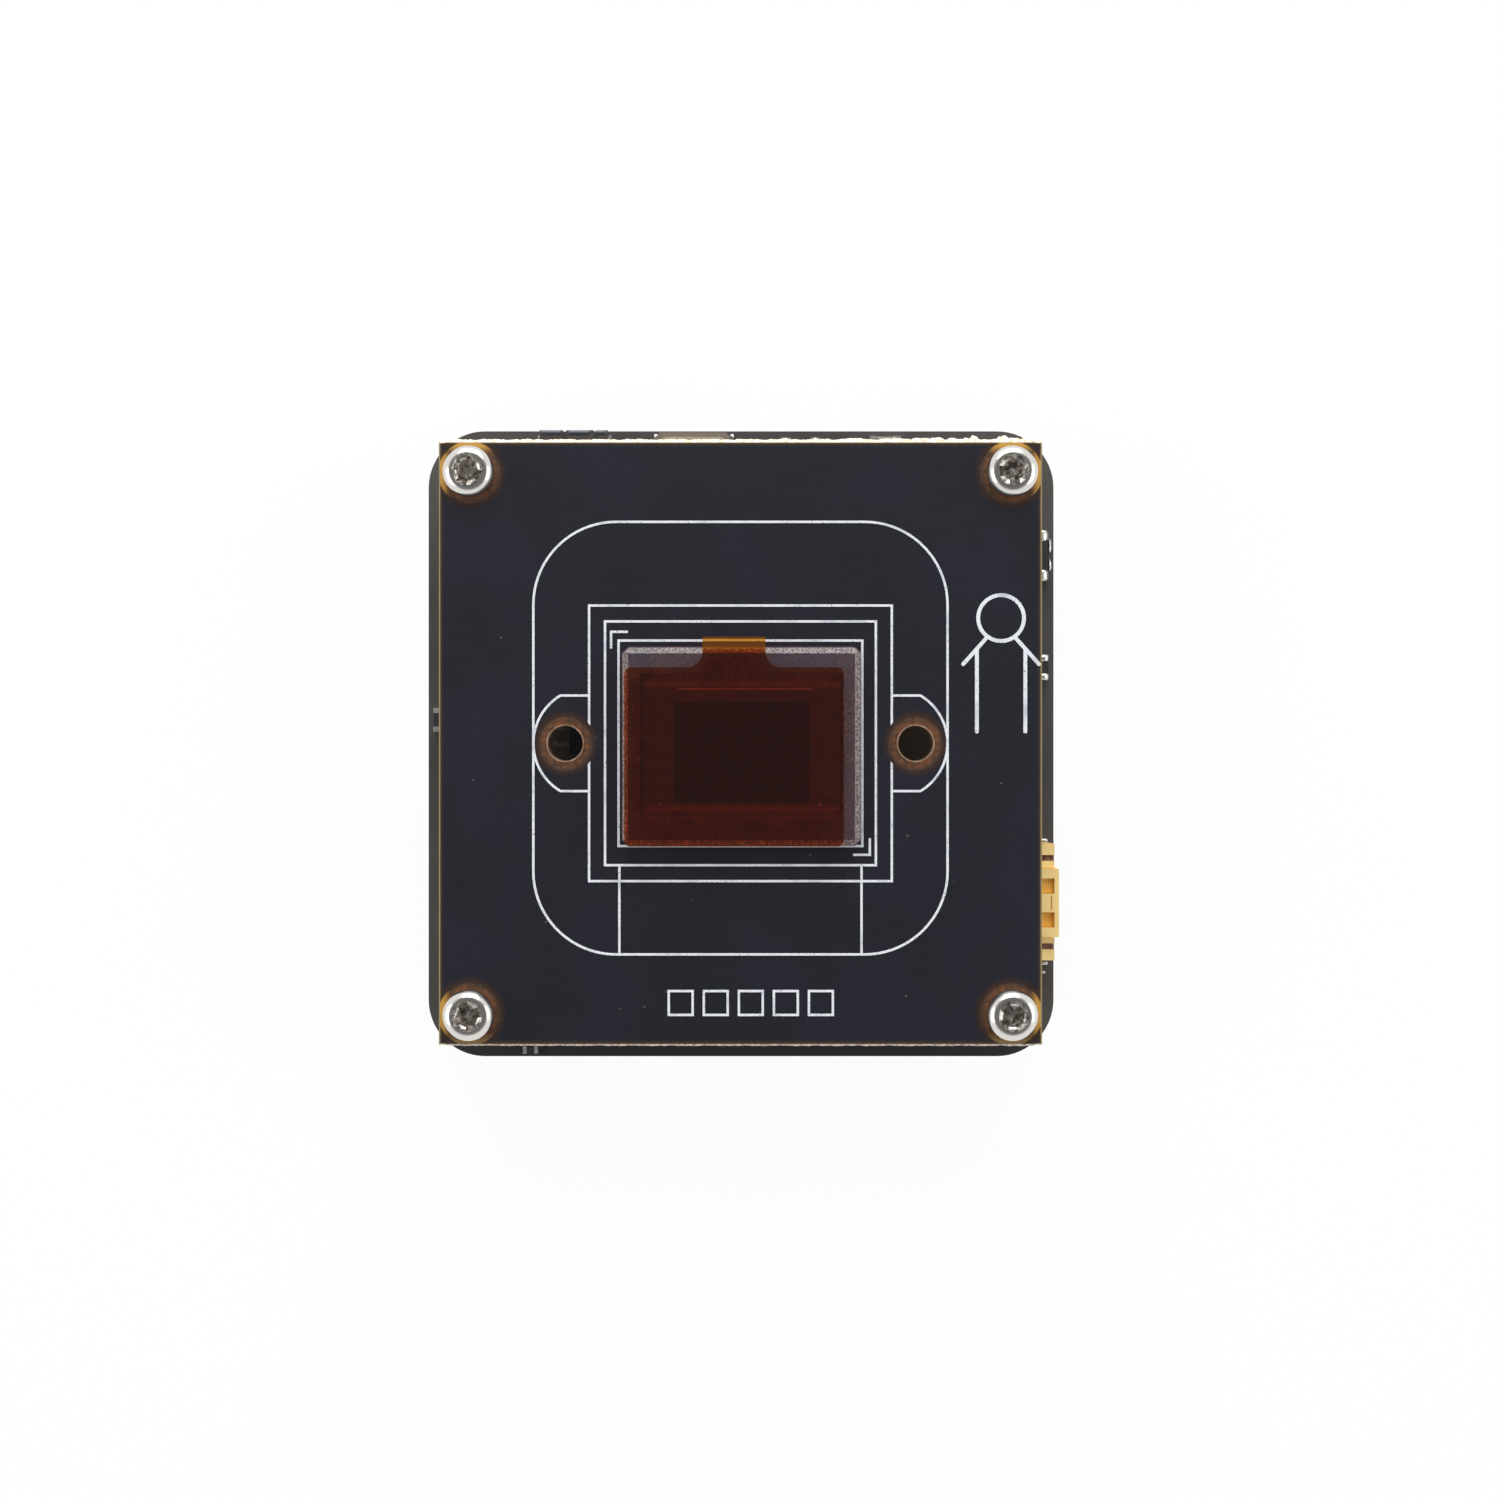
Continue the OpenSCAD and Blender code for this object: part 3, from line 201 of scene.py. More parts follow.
def dusty_mask(node, place):
    """The rear board's mask: a matter, greyer coat, with painted shade that darkens it along its lower margin, below
    the sensor board.
    """
    inputs = solder_mask(node, place, "#403e3d", "#4c4948", 0.5)
    y = node("SeparateXYZ", {"Vector": place}, "Y")
    # Painted shade: the mask is darkened along its lower margin, where the sensor board shades it
    clean = node("MapRange", {"Value": y, "From Min": -BOARD_HALF, "From Max": -BOARD_HALF - 0.5 * MM, "To Max": 0.85})
    colour = node("Mix", {0: clean, 6: inputs["Base Color"], 7: "#191618"}, 2, data_type="RGBA")
    return inputs | {"Base Color": colour}


def bare_cloth(node, place, mottle):
    """Bare face of a laminate: brown yarns 0.45 mm apart, darker towards the mask, and gilt near the board's rim, where
    the mask was pulled back and the bare rings brighten; at the lower rim the gilt is painted darker, a painted shade
    for the weaker light there."""
    warp = node("TexWave", {"Vector": place, "Scale": bands(0.45), "Distortion": 1.5}, "Fac", bands_direction="X")
    weft = node("TexWave", {"Vector": place, "Scale": bands(0.45), "Distortion": 1.5}, "Fac", bands_direction="Y")
    weave = node("Math", {0: warp, 1: weft}, operation="MULTIPLY")
    yarn = node("Math", {0: weave, 1: 0.3, 2: mottle}, operation="MULTIPLY_ADD")
    tone = node("ValToRGB", {"Fac": yarn}, stops=((0.35, "#3c210a"), (0.75, "#6e3d12")))
    shade = node("MapRange", {"Value": past_ring(node, place), "From Min": -0.5 * MM, "From Max": 0.05 * MM,
                              "To Max": 0.85}, interpolation_type="SMOOTHSTEP")
    tone = node("Mix", {0: shade, 6: tone, 7: "#2c2018"}, 2, data_type="RGBA")
    rim = node("MapRange", {"Value": from_middle(node, place), "From Min": BOARD_HALF - 0.8 * MM,
                            "From Max": BOARD_HALF - 0.25 * MM}, interpolation_type="SMOOTHSTEP")
    y = node("SeparateXYZ", {"Vector": place}, "Y")
    # Painted shade: the gilt is darker at the lower rim, where the light from above falls weaker
    lower = node("Math", {0: y, 1: -BOARD_HALF + 0.6 * MM}, operation="LESS_THAN")
    gilt = node("Mix", {0: lower, 6: "#b98a34", 7: "#86683c"}, 2, data_type="RGBA")
    return node("Mix", {0: rim, 6: tone, 7: gilt}, 2, data_type="RGBA")


def cut_cloth(node, place, rear):
    """Cut faces of a laminate, where its sheets of cloth show 0.12 mm thick: torn and pale above and below on the
    front board, routed and brown at its sides and all round the rear one."""
    sheets = node("TexWave", {"Vector": place, "Scale": bands(0.12), "Distortion": 3.0, "Detail": 3.0}, "Fac",
                  bands_direction="Z")
    torn = node("ValToRGB", {"Fac": sheets}, stops=((0.0, "#d8c8a4"), (1.0, "#fbf2dc")))
    routed = node("ValToRGB", {"Fac": sheets}, stops=((0.0, "#54451f"), (1.0, "#96803c")))
    fold = node("VectorMath", {0: place}, operation="ABSOLUTE")
    x, y, _ = node("SeparateXYZ", {"Vector": fold}).node.outputs
    upright = node("Math", {0: y, 1: x}, operation="GREATER_THAN")
    cut = node("Mix", {0: upright, 6: routed, 7: torn}, 2, data_type="RGBA")
    return node("Mix", {0: rear, 6: cut, 7: routed}, 2, data_type="RGBA")


def laminate(node, place):
    """Woven glass and epoxy: brown on its bare faces, its stacked sheets open to view where it is cut."""
    mottle = node("TexNoise", {"Vector": place, "Scale": per(0.5), "Detail": 4.0})
    z = node("SeparateXYZ", {"Vector": place}, "Z")
    rear = node("Math", {0: z, 1: BETWEEN_BOARDS}, operation="LESS_THAN")
    edge = node("MapRange", {"Value": from_middle(node, place), "From Min": BOARD_HALF - 0.16 * MM,
                             "From Max": BOARD_HALF - 0.1 * MM})
    # The rear board is masked up to its rim, so all that shows of its laminate outside the posts is cut
    is_cut = node("Math", {0: edge, 1: rear}, operation="MAXIMUM")
    bare, cut = bare_cloth(node, place, mottle), cut_cloth(node, place, rear)
    colour = node("Mix", {0: is_cut, 6: bare, 7: cut}, 2, data_type="RGBA")
    bump = node("Bump", {"Height": mottle, "Distance": 0.02 * MM, "Strength": 0.7})
    return {"Base Color": colour, "Roughness": 0.55, "IOR": 1.5, "Normal": bump}


def torn_fibre(node, place, dark, light):
    """Torn glass cloth: pale resin crumbs and fibre ends where a board was snapped from its panel, rough and matt."""
    flecks = node("TexNoise", {"Vector": place, "Scale": per(0.3), "Detail": 4.0})
    colour = node("ValToRGB", {"Fac": flecks}, stops=((0.36, dark), (0.58, light)))
    bump = node("Bump", {"Height": flecks, "Distance": 0.03 * MM, "Strength": 0.7})
    return {"Base Color": colour, "Roughness": 0.75, "Normal": bump}


def legend_ink(node, place):
    """Legend ink: white epoxy screened on, thin and matt, a little ragged, the mask showing through pinholes."""
    fine = node("TexNoise", {"Vector": place, "Scale": per(0.12), "Detail": 3.0})
    wide = node("TexNoise", {"Vector": place, "Scale": per(1.4), "Detail": 2.0})
    cover = node("ValToRGB", {"Fac": fine}, stops=((0.26, "#6a6d76"), (0.42, "#dadde3")))
    thin = node("MapRange", {"Value": wide, "From Min": 0.5, "From Max": 0.72, "To Max": 0.6})
    colour = node("Mix", {0: thin, 6: cover, 7: "#a2a6b2"}, 2, data_type="RGBA")
    bump = node("Bump", {"Height": fine, "Distance": 0.01 * MM, "Strength": 0.6})
    return {"Base Color": colour, "Roughness": 0.6, "Normal": bump}


def metal(node, place, dark, light, rough, size_mm=0.2, relief=0.3):
    """A metal skin: plated, reflowed or rolled, its tone and gloss clouded at size_mm and its skin uneven."""
    cloud = node("TexNoise", {"Vector": place, "Scale": per(size_mm), "Detail": 3.0})
    colour = node("ValToRGB", {"Fac": cloud}, stops=((0.3, dark), (0.7, light)))
    gloss = node("MapRange", {"Value": cloud, "To Min": rough - 0.06, "To Max": rough + 0.06})
    bump = node("Bump", {"Height": cloud, "Distance": 0.01 * MM, "Strength": relief})
    return {"Base Color": colour, "Roughness": gloss, "Metallic": 1.0, "Normal": bump}


def plated_steel(node, place):
    """Nickel-plated steel, cold-headed: a bright rounded rim; within 1 mm the struck recess is rougher and lumpy, its
    colour painted darker in lumps, a painted dark reflection and painted shade.
    """
    struck = node("MapRange", {"Value": away(node, place, SCREW_AT, SCREW_AT), "From Min": 1.04 * MM,
                               "From Max": 0.94 * MM})
    lumps = node("TexNoise", {"Vector": place, "Scale": per(0.32), "Detail": 3.0})
    # Painted reflection and shade: the recess is painted a darker grey in lumps
    dull = node("ValToRGB", {"Fac": lumps}, stops=((0.34, "#6f6862"), (0.64, "#d8d2ca")))
    colour = node("Mix", {0: struck, 6: "#dcd9d4", 7: dull}, 2, data_type="RGBA")
    gloss = node("MapRange", {"Value": struck, "To Min": 0.18, "To Max": 0.3})
    height = node("MapRange", {"Value": struck, "To Min": 0.1, "To Max": 1.0})
    bump = node("Bump", {"Height": lumps, "Distance": 0.05 * MM, "Strength": height})
    return {"Base Color": colour, "Roughness": gloss, "Metallic": 1.0, "Normal": bump}


def turned_brass(node, place):
    """Free-cutting brass, turned: rings from the tool drawn 0.16 mm apart so that they show, a little tarnish."""
    rings = node("TexWave", {"Vector": place, "Scale": bands(0.16), "Distortion": 0.6}, "Fac", bands_direction="Z")
    tarnish = node("TexNoise", {"Vector": place, "Scale": per(1.8), "Detail": 3.0})
    colour = node("ValToRGB", {"Fac": tarnish}, stops=((0.3, "#c2a15c"), (0.75, "#dcc588")))
    bump = node("Bump", {"Height": rings, "Distance": 0.006 * MM, "Strength": 0.5})
    return {"Base Color": colour, "Roughness": 0.28, "Metallic": 1.0, "Normal": bump}


def fired(node, place, dark, light, rough):
    """Fired ceramic, moulding compound or pressed powder: a matt grain of 0.1 mm."""
    grain = node("TexNoise", {"Vector": place, "Scale": per(0.1), "Detail": 3.0})
    colour = node("ValToRGB", {"Fac": grain}, stops=((0.3, dark), (0.7, light)))
    bump = node("Bump", {"Height": grain, "Distance": 0.008 * MM, "Strength": 0.6})
    return {"Base Color": colour, "Roughness": rough, "Normal": bump}


def package_ceramic(node, place):
    """Co-fired alumina of the sensor package: mauve-grey, finely speckled, with bluish clouds."""
    speck = node("TexNoise", {"Vector": place, "Scale": per(0.16), "Detail": 4.0})
    tone = node("ValToRGB", {"Fac": speck}, stops=((0.32, "#564448"), (0.7, "#846e6e")))
    cloud = node("TexNoise", {"Vector": place, "Scale": per(1.6), "Detail": 2.0})
    patch = node("MapRange", {"Value": cloud, "From Min": 0.42, "From Max": 0.62, "To Max": 0.7})
    colour = node("Mix", {0: patch, 6: tone, 7: "#5c4e60"}, 2, data_type="RGBA")
    bump = node("Bump", {"Height": speck, "Distance": 0.01 * MM, "Strength": 0.6})
    return {"Base Color": colour, "Roughness": 0.55, "Normal": bump}


def silicon(node, place):
    """Polished silicon under its passivation: dark blue-grey, driver rows as faint bars, bond pads at two edges
    and a dot near each corner."""
    x, y, _ = node("SeparateXYZ", {"Vector": place}).node.outputs
    above = node("Math", {0: DIE_HIGH[1], 1: y}, operation="SUBTRACT")
    below = node("Math", {0: y, 1: DIE_LOW[1]}, operation="SUBTRACT")
    inward = node("Math", {0: above, 1: below}, operation="MINIMUM")
    row = node("Math", {0: inward, 1: 0.18 * MM}, operation="LESS_THAN")
    # Pads 0.09 mm wide every 0.16 mm
    swing = node("Math", {0: x, 1: 0.08 * MM}, operation="PINGPONG")
    strip = node("Math", {0: swing, 1: 0.045 * MM}, operation="LESS_THAN")
    pad = node("Math", {0: row, 1: strip}, operation="MULTIPLY")
    bars = node("TexWave", {"Vector": place, "Scale": bands(0.9), "Distortion": 0.4}, "Fac", bands_direction="Y")
    tone = node("ValToRGB", {"Fac": bars}, stops=((0.25, "#332e38"), (0.9, "#39343e")))
    # One bright bus line runs above the light-sensitive area, short of the corners
    level = node("Math", {0: above, 1: 0.43 * MM, 2: 0.05 * MM}, operation="COMPARE")
    reach = node("Math", {0: x, 1: 0.3 * MM, 2: 4.2 * MM}, operation="COMPARE")
    line = node("Math", {0: level, 1: reach}, operation="MULTIPLY")
    tone = node("Mix", {0: line, 6: tone, 7: "#86747a"}, 2, data_type="RGBA")
    dot = node("Math", {0: away(node, place, 4.95 * MM, 3.85 * MM), 1: 0.09 * MM}, operation="LESS_THAN")
    tone = node("Mix", {0: dot, 6: tone, 7: "#a89a98"}, 2, data_type="RGBA")
    # The scribe margin above and below is as pale as the package
    outer = node("Math", {0: inward, 1: 0.36 * MM}, operation="LESS_THAN")
    tone = node("Mix", {0: outer, 6: tone, 7: "#4e4146"}, 2, data_type="RGBA")
    colour = node("Mix", {0: pad, 6: tone, 7: "#6c5c50"}, 2, data_type="RGBA")
    return {"Base Color": colour, "Roughness": 0.4, "IOR": 1.5}


def pixel_array(node, place):
    """Colour filters under micro lenses: near black with a violet tint, cells drawn 0.12 mm wide so that they show."""
    cells = node("TexChecker", {"Vector": place, "Scale": per(0.12), "Color1": "#0e0812", "Color2": "#140c1a"}, "Color")
    return {"Base Color": cells, "Roughness": 0.35, "IOR": 1.45}


def sensor_glass(node, place):
    """Optical glass, sawn and ground: clear and flat on both faces, its bevel and sides frosted white and chipped."""
    z = node("SeparateXYZ", {"Vector": place}, "Z")
    below = node("Math", {0: GLASS_HIGH[2], 1: z}, operation="SUBTRACT")
    above = node("Math", {0: z, 1: GLASS_LOW[2]}, operation="SUBTRACT")
    inside = node("Math", {0: below, 1: above}, operation="MINIMUM")
    frost = node("MapRange", {"Value": inside, "From Min": 0.004 * MM, "From Max": 0.03 * MM})
    chips = node("TexNoise", {"Vector": place, "Scale": per(0.14), "Detail": 3.0})
    ground = node("ValToRGB", {"Fac": chips}, stops=((0.45, "#7c6c6e"), (0.62, "#fff0e4")))
    colour = node("Mix", {0: frost, 6: "#f4f2fa", 7: ground}, 2, data_type="RGBA")
    clear = node("MapRange", {"Value": frost, "To Min": 1.0, "To Max": 0.8})
    rough = node("MapRange", {"Value": frost, "To Min": 0.0, "To Max": 0.35})
    relief = node("Math", {0: chips, 1: frost}, operation="MULTIPLY")
    bump = node("Bump", {"Height": relief, "Distance": 0.02 * MM, "Strength": 0.6})
    return {"Base Color": colour, "Roughness": rough, "IOR": 1.5, "Transmission Weight": clear, "Normal": bump}


def polyimide_film(node, place):
    """Polyimide film, cast: glossy and clear amber, red-brown over dark silicon; its free tab is hazier and painted a
    brighter orange, painted light for the light from above that shines through it; its lower face wets the glass, so
    that no surface is seen there."""
    _, y, z = node("SeparateXYZ", {"Vector": place}).node.outputs
    wetted = node("MapRange", {"Value": z, "From Min": FILM_LOW[2] + 0.01 * MM, "From Max": FILM_LOW[2] + 0.02 * MM})
    # Painted light: from 0.3 mm inside the glass's upper edge outwards the film is painted brighter orange and made
    # hazier
    free = node("MapRange", {"Value": y, "From Min": GLASS_HIGH[1] - 0.3 * MM, "From Max": GLASS_HIGH[1]})
    streak = node("TexNoise", {"Vector": place, "Scale": per(0.8), "Detail": 3.0})
    deep = node("ValToRGB", {"Fac": streak}, stops=((0.3, "#a8300a"), (0.7, "#b83c10")))
    colour = node("Mix", {0: free, 6: deep, 7: "#c06c0c"}, 2, data_type="RGBA")
    clear = node("MapRange", {"Value": free, "To Min": 1.0, "To Max": 0.82})
    waves = node("TexNoise", {"Vector": place, "Scale": per(2.5), "Detail": 2.0})
    bump = node("Bump", {"Height": waves, "Distance": 0.006 * MM, "Strength": 0.4})
    return {"Base Color": colour, "Roughness": 0.05, "IOR": 1.5, "Transmission Weight": clear, "Alpha": wetted,
            "Normal": bump}


def nylon(node, place, dark, light, rough, soft):
    """Injection-moulded nylon: satin, slightly clouded, with light scattered inside where it isn't black."""
    cloud = node("TexNoise", {"Vector": place, "Scale": per(1.5), "Detail": 3.0})
    colour = node("ValToRGB", {"Fac": cloud}, stops=((0.3, dark), (0.7, light)))
    fine = node("TexNoise", {"Vector": place, "Scale": per(0.12), "Detail": 2.0})
    bump = node("Bump", {"Height": fine, "Distance": 0.006 * MM, "Strength": 0.6})
    return {"Base Color": colour, "Roughness": rough, "Subsurface Weight": soft,
            "Subsurface Scale": 0.4 * MM, "Normal": bump}


MATERIALS = {
    "laminate": finish("glass_epoxy_laminate", laminate),
    "solder_mask": finish("solder_mask_blue_black", solder_mask, "#15151f", "#1a1a26", 0.38),
    "legend_ink": finish("legend_ink_white", legend_ink),
    # Flash gold over nickel: warm and smooth
    "gold_plating": finish("flash_gold", metal, "#c39642", "#e6c474", 0.25),
    "package_ceramic": finish("cofired_alumina_mauve", package_ceramic),
    "silicon": finish("silicon_passivated", silicon),
    "pixel_array": finish("colour_filter_array", pixel_array),
    "sensor_glass": finish("optical_glass_clear", sensor_glass, through="#fafafa"),
    "polyimide_film": finish("polyimide_film_amber", polyimide_film, through="#e9b188"),
    "plated_steel": finish("nickel_plated_steel", plated_steel),
    "turned_brass": finish("turned_brass", turned_brass),
    # Reflowed tin: bright wetted fillets under a slightly frosted skin
    "solder": finish("reflowed_solder", metal, "#b4b2ac", "#ece9e2", 0.3, 0.12, 0.6),
    # Fired titanate: tan and matt
    "chip_ceramic": finish("capacitor_ceramic_tan", fired, "#7a6248", "#a08862", 0.5),
    # Matt tin over copper alloy: soft grey-white
    "tinned_metal": finish("matt_tin_plating", metal, "#b8b6b0", "#e2e0da", 0.35),
    # Silica-filled epoxy: charcoal with a fine matt grain
    "mould_compound": finish("epoxy_moulding_compound", fired, "#1b1b1e", "#2b2b2f", 0.55),
    # Glass-filled nylon: cream, duller and more opaque than the unfilled, warm and faintly translucent one
    "connector_resin": finish("glass_filled_nylon_cream", nylon, "#dcc18c", "#ecd6a6", 0.5, 0.0),
    "natural_nylon": finish("natural_nylon_cream", nylon, "#ffd88c", "#ffe49e", 0.42, 0.1),
    "black_nylon": finish("black_nylon", nylon, "#1d1e22", "#2a2b31", 0.38, 0.0),
    # Alumina tub: taupe and matt
    "crystal_ceramic": finish("crystal_base_ceramic", fired, "#6a6055", "#887c6e", 0.5),
    # Rolled nickel-iron lid: taupe-grey satin
    "lid_metal": finish("nickel_iron_lid", metal, "#b0a28e", "#d0c4b0", 0.5),
    # Chip substrate under green mask, satin
    "package_laminate": finish("chip_substrate_laminate", fired, "#24382a", "#35503c", 0.4),
    # Pressed powder: dark grey and dry
    "ferrite": finish("pressed_ferrite", fired, "#2e2e31", "#4d4d51", 0.7),
}
# Finishes of single pieces whose slot has more than one look
OWN_FINISH = {
    # Preserved copper: dull tan-brown rims
    "lens_hole_rims": finish("preserved_copper", metal, "#9a7860", "#d8b8a0", 0.45, 0.4),
    "main_board_mask": finish("solder_mask_grey_black", dusty_mask),
    # Brass solder tabs, dulled brown by flux
    "microphone_tabs": finish("fluxed_brass_tab", metal, "#6a3a30", "#c09684", 0.45, 0.3),
    # Tin painted dark grey, a painted shade for the shadow in the hole between the boards; rough and matt
    "transformer_legs": finish("dull_tin_plating", metal, "#4a4846", "#6c6a66", 0.6),
    # Black nylon of a lighter grey than the slot's own
    "service_socket": finish("black_nylon_dusty", nylon, "#3c3836", "#4a4644", 0.45, 0.0),
    # Paler titanate of the capacitors in front
    "front_capacitors": finish("capacitor_ceramic_grey", fired, "#968c7c", "#c0b8a8", 0.5),
}


def dress():
    """Gives each node its own finish, or else that of its slot."""
    slot_of = {part["node"]: part["material_slot"] for part in frame["record"]["subparts"]}
    for name, piece in nodes.items():
        piece.data.materials.clear()
        piece.data.materials.append(OWN_FINISH.get(name) or MATERIALS[slot_of[name]])


dress()


# ---- Small formed pieces ----

def settle(name, points, faces, material, smooth=True):
    """One piece from arrays of points and of faces, with coincident points, as at a pole, joined and its faces
    turned outwards; it rides on the module."""
    mesh = bpy.data.meshes.new(name)
    mesh.from_pydata(points.reshape(-1, 3).tolist(), [], faces.reshape(-1, 4).tolist())
    shape = bmesh.new()
    shape.from_mesh(mesh)
    bmesh.ops.remove_doubles(shape, verts=shape.verts, dist=0.0001 * MM)
    bmesh.ops.recalc_face_normals(shape, faces=shape.faces)
    shape.to_mesh(mesh)
    shape.free()
    mesh.polygons.foreach_set("use_smooth", np.full(len(mesh.polygons), smooth))
    mesh.materials.append(material)
    piece = bpy.data.objects.new(name, mesh)
    bpy.context.scene.collection.objects.link(piece)
    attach(piece, "root")
    return piece


def quads(rows, columns, copies=1, closed=True, looped=False):
    """Faces of copies of a grid of points, row by row; closed joins the last column to the first, looped the last
    row to the first."""
    row, column = np.meshgrid(np.arange(rows - (not looped)), np.arange(columns - (not closed)), indexing="ij")
    below, after = (row + 1) % rows, (column + 1) % columns
    corners = [row * columns + column, row * columns + after, below * columns + after, below * columns + column]
    grid = np.stack(corners, axis=-1).reshape(-1, 4)
    return (grid + np.arange(copies)[:, None, None] * rows * columns).reshape(-1, 4)


def solids(name):
    """Lowest and highest corners of each solid of a node: corners that triangles join share the lowest label."""
    mesh = nodes[name].data
    points = np.empty(len(mesh.vertices) * 3)
    mesh.vertices.foreach_get("co", points)
    corners, index = np.unique(points.reshape(-1, 3).round(7), axis=0, return_inverse=True)
    loops = np.empty(len(mesh.loops), dtype=int)
    mesh.loops.foreach_get("vertex_index", loops)
    faces = index.reshape(-1)[loops].reshape(-1, 3)
    labels = np.arange(len(corners))
    before = None
    while before is None or np.any(before != labels):
        before = labels.copy()
        np.minimum.at(labels, faces.reshape(-1), np.repeat(labels[faces].min(axis=1), 3))
    return [(corners[labels == label].min(axis=0), corners[labels == label].max(axis=0)) for label in np.unique(labels)]


def ragged(along, sizes_mm):
    """Rough outline between 0 and 1: sines of random phase at falling wavelengths, folded so that it has crests."""
    phase = rng.uniform(0, 2 * np.pi, len(sizes_mm))
    waves = [np.abs(np.sin(np.pi * along / (size * MM) + shift)) for size, shift in zip(sizes_mm, phase)]
    return np.average(waves, axis=0, weights=np.sqrt(sizes_mm))


def torn_edge(name, start, end, side, reach, depth, bumps, material):
    """Torn rim from start to end: a half ellipse, depth high, bulges sideways by a reach that grows evenly along
    the rim, times a ragged outline, plus a flat bell for each bump (place along the rim, width and height in
    millimetres), and it shrinks to nothing at both ends."""
    start, end = np.array(start), np.array(end)
    length = np.linalg.norm(end - start)
    along = np.linspace(0, length, int(length / TEAR_STEP))
    bulge = np.linspace(*reach, len(along)) * (0.6 + 0.4 * ragged(along, (2.3, 0.9, 0.41, 0.19)))
    for at, width, height in bumps:
        bulge = bulge + height * MM * np.exp(-(((along - at * MM) / (width * MM)) ** 6))
    bulge = bulge * np.minimum(1, np.minimum(along, length - along) / (0.2 * MM))
    turn = np.linspace(0, np.pi, 9)
    wobble = 1 - 0.18 * ragged(along, (0.7, 0.3))[:, None] * np.sin(turn) ** 2
    middle = start + (end - start) * (along / length)[:, None]
    out = bulge[:, None] * np.sin(turn) * wobble
    up = np.broadcast_to(depth / 2 * np.cos(turn), out.shape)
    points = middle[:, None] + out[..., None] * np.array(side) + up[..., None] * np.array((0, 0, 1.0))
    settle(name, points, quads(len(along), len(turn)), material, smooth=False)


# Distance between the rings of points of a torn rim
TEAR_STEP = 0.045 * MM
# Bumps of the upper rim, from its left end
TOP_BUMPS = (
    (21.5, 0.1, 0.09), (23.3, 0.1, 0.09), (25.7, 0.8, 0.06), (28.6, 1.0, 0.05), (29.9, 0.4, 0.1), (31.0, 0.4, 0.12),
    (31.9, 0.25, 0.1), (32.8, 0.15, 0.1), (33.35, 0.22, 0.26), (35.1, 0.3, 0.2), (36.0, 0.8, 0.1),
)


def board_rims():
    """The sensor board's upper and lower rims, where it was snapped from its panel along scored lines."""
    edge = BOARD_HALF - 0.1 * MM
    corner, level = edge - 0.3 * MM, (BOARD_LOW[2] + BOARD_HIGH[2]) / 2
    thick = BOARD_HIGH[2] - BOARD_LOW[2]
    cream = finish("torn_glass_cloth_cream", torn_fibre, "#dccdb0", "#fff6e4")
    # Painted shade: the lower rim gets a darker, pinker copy of the same torn cloth, for the weaker light that falls on
    # it
    dull = finish("torn_glass_cloth_dull", torn_fibre, "#a08e84", "#e6d8cc")
    torn_edge("torn_rim_top", (-corner, edge, level), (corner, edge, level), (0, 1, 0),
              (0.34 * MM, 0.36 * MM), thick, TOP_BUMPS, cream)
    torn_edge("torn_rim_bottom", (corner, -edge, level), (-corner, -edge, level), (0, -1, 0),
              (0.22 * MM, 0.2 * MM), thick, (), dull)


def panel_stubs():
    """Stubs of the two webs that held the rear board in its panel, on its right edge and proud of its faces."""
    white = finish("torn_glass_cloth_white", torn_fibre, "#d8d4d2", "#ffffff")
    x, level = MAIN_HIGH[0] - 0.3 * MM, (MAIN_LOW[2] + MAIN_HIGH[2]) / 2
    thick = MAIN_HIGH[2] - MAIN_LOW[2] + 0.6 * MM
    for name, high, low in (("panel_stub_upper", 13.76, 12.75), ("panel_stub_lower", 12.42, 11.54)):
        torn_edge(name, (x, high * MM, level), (x, low * MM, level), (1, 0, 0), (0.26 * MM, 0.26 * MM), thick, (),
                  white)


board_rims()
panel_stubs()


def solder_skirts(name, boxes, up, reach, climb, base):
    """Solder round each box: its outline, carried up climb of its height while its distance from the box falls
    from reach to nothing as the square of the way left, which gives a hollow fillet; up is the side it climbs."""
    angle = np.linspace(0, 2 * np.pi, 16, endpoint=False) + 0.01
    turn = np.stack([np.cos(angle), np.sin(angle)], axis=-1)
    way = np.linspace(0, 1, 5)
    # The last row closes the fillet along the foot of the box
    spread, level = np.append(reach * (1 - way) ** 2, 0.0), np.append(way, 0.0)
    low, high = (np.array(side)[:, None, None] for side in zip(*boxes))
    flat = (low + high)[..., :2] / 2 + (high - low)[..., :2] / 2 * np.sign(turn) + spread[:, None, None] * turn
    rise = base + up * climb * (high - low)[..., 2] * level[:, None]
    points = np.concatenate([flat, np.broadcast_to(rise[..., None], (*flat.shape[:3], 1))], axis=-1)
    settle(name, points, quads(len(level), len(turn), len(boxes), looped=True), MATERIALS["solder"])


def solder_domes(name, boxes):
    """Solder heaped on each box: rings round its middle, square with rounded corners, spread by 4 percent in X and
    60 in Y, whose height is the box's own times the fourth root of 1 - t^8, plus a crown of 0.12 mm times
    1 - t^2, where t runs from the middle to the rim; a flat underside closes it."""
    turn = np.linspace(0, 2 * np.pi, 24, endpoint=False)
    size = (np.cos(turn) ** 6 + np.sin(turn) ** 6) ** (-1 / 6)
    t = np.append(np.linspace(0, 1, 13), 0.0)
    low, high = (np.array(side)[:, None, None] for side in zip(*boxes))
    middle, half = (low + high) / 2, (high - low) / 2
    wall, crown = (1 - t**8) ** 0.25, 0.12 * MM * (1 - t**2)
    wall[-1] = crown[-1] = 0.0
    x = middle[..., 0] + 1.04 * half[..., 0] * t[:, None] * size * np.cos(turn)
    y = middle[..., 1] + 1.6 * half[..., 1] * t[:, None] * size * np.sin(turn)
    z = low[..., 2] + 2 * half[..., 2] * wall[:, None] + crown[:, None] + 0 * x
    faces = quads(len(t), len(turn), len(boxes))
    settle(name, np.stack([x, y, z], axis=-1), faces, MATERIALS["solder"])


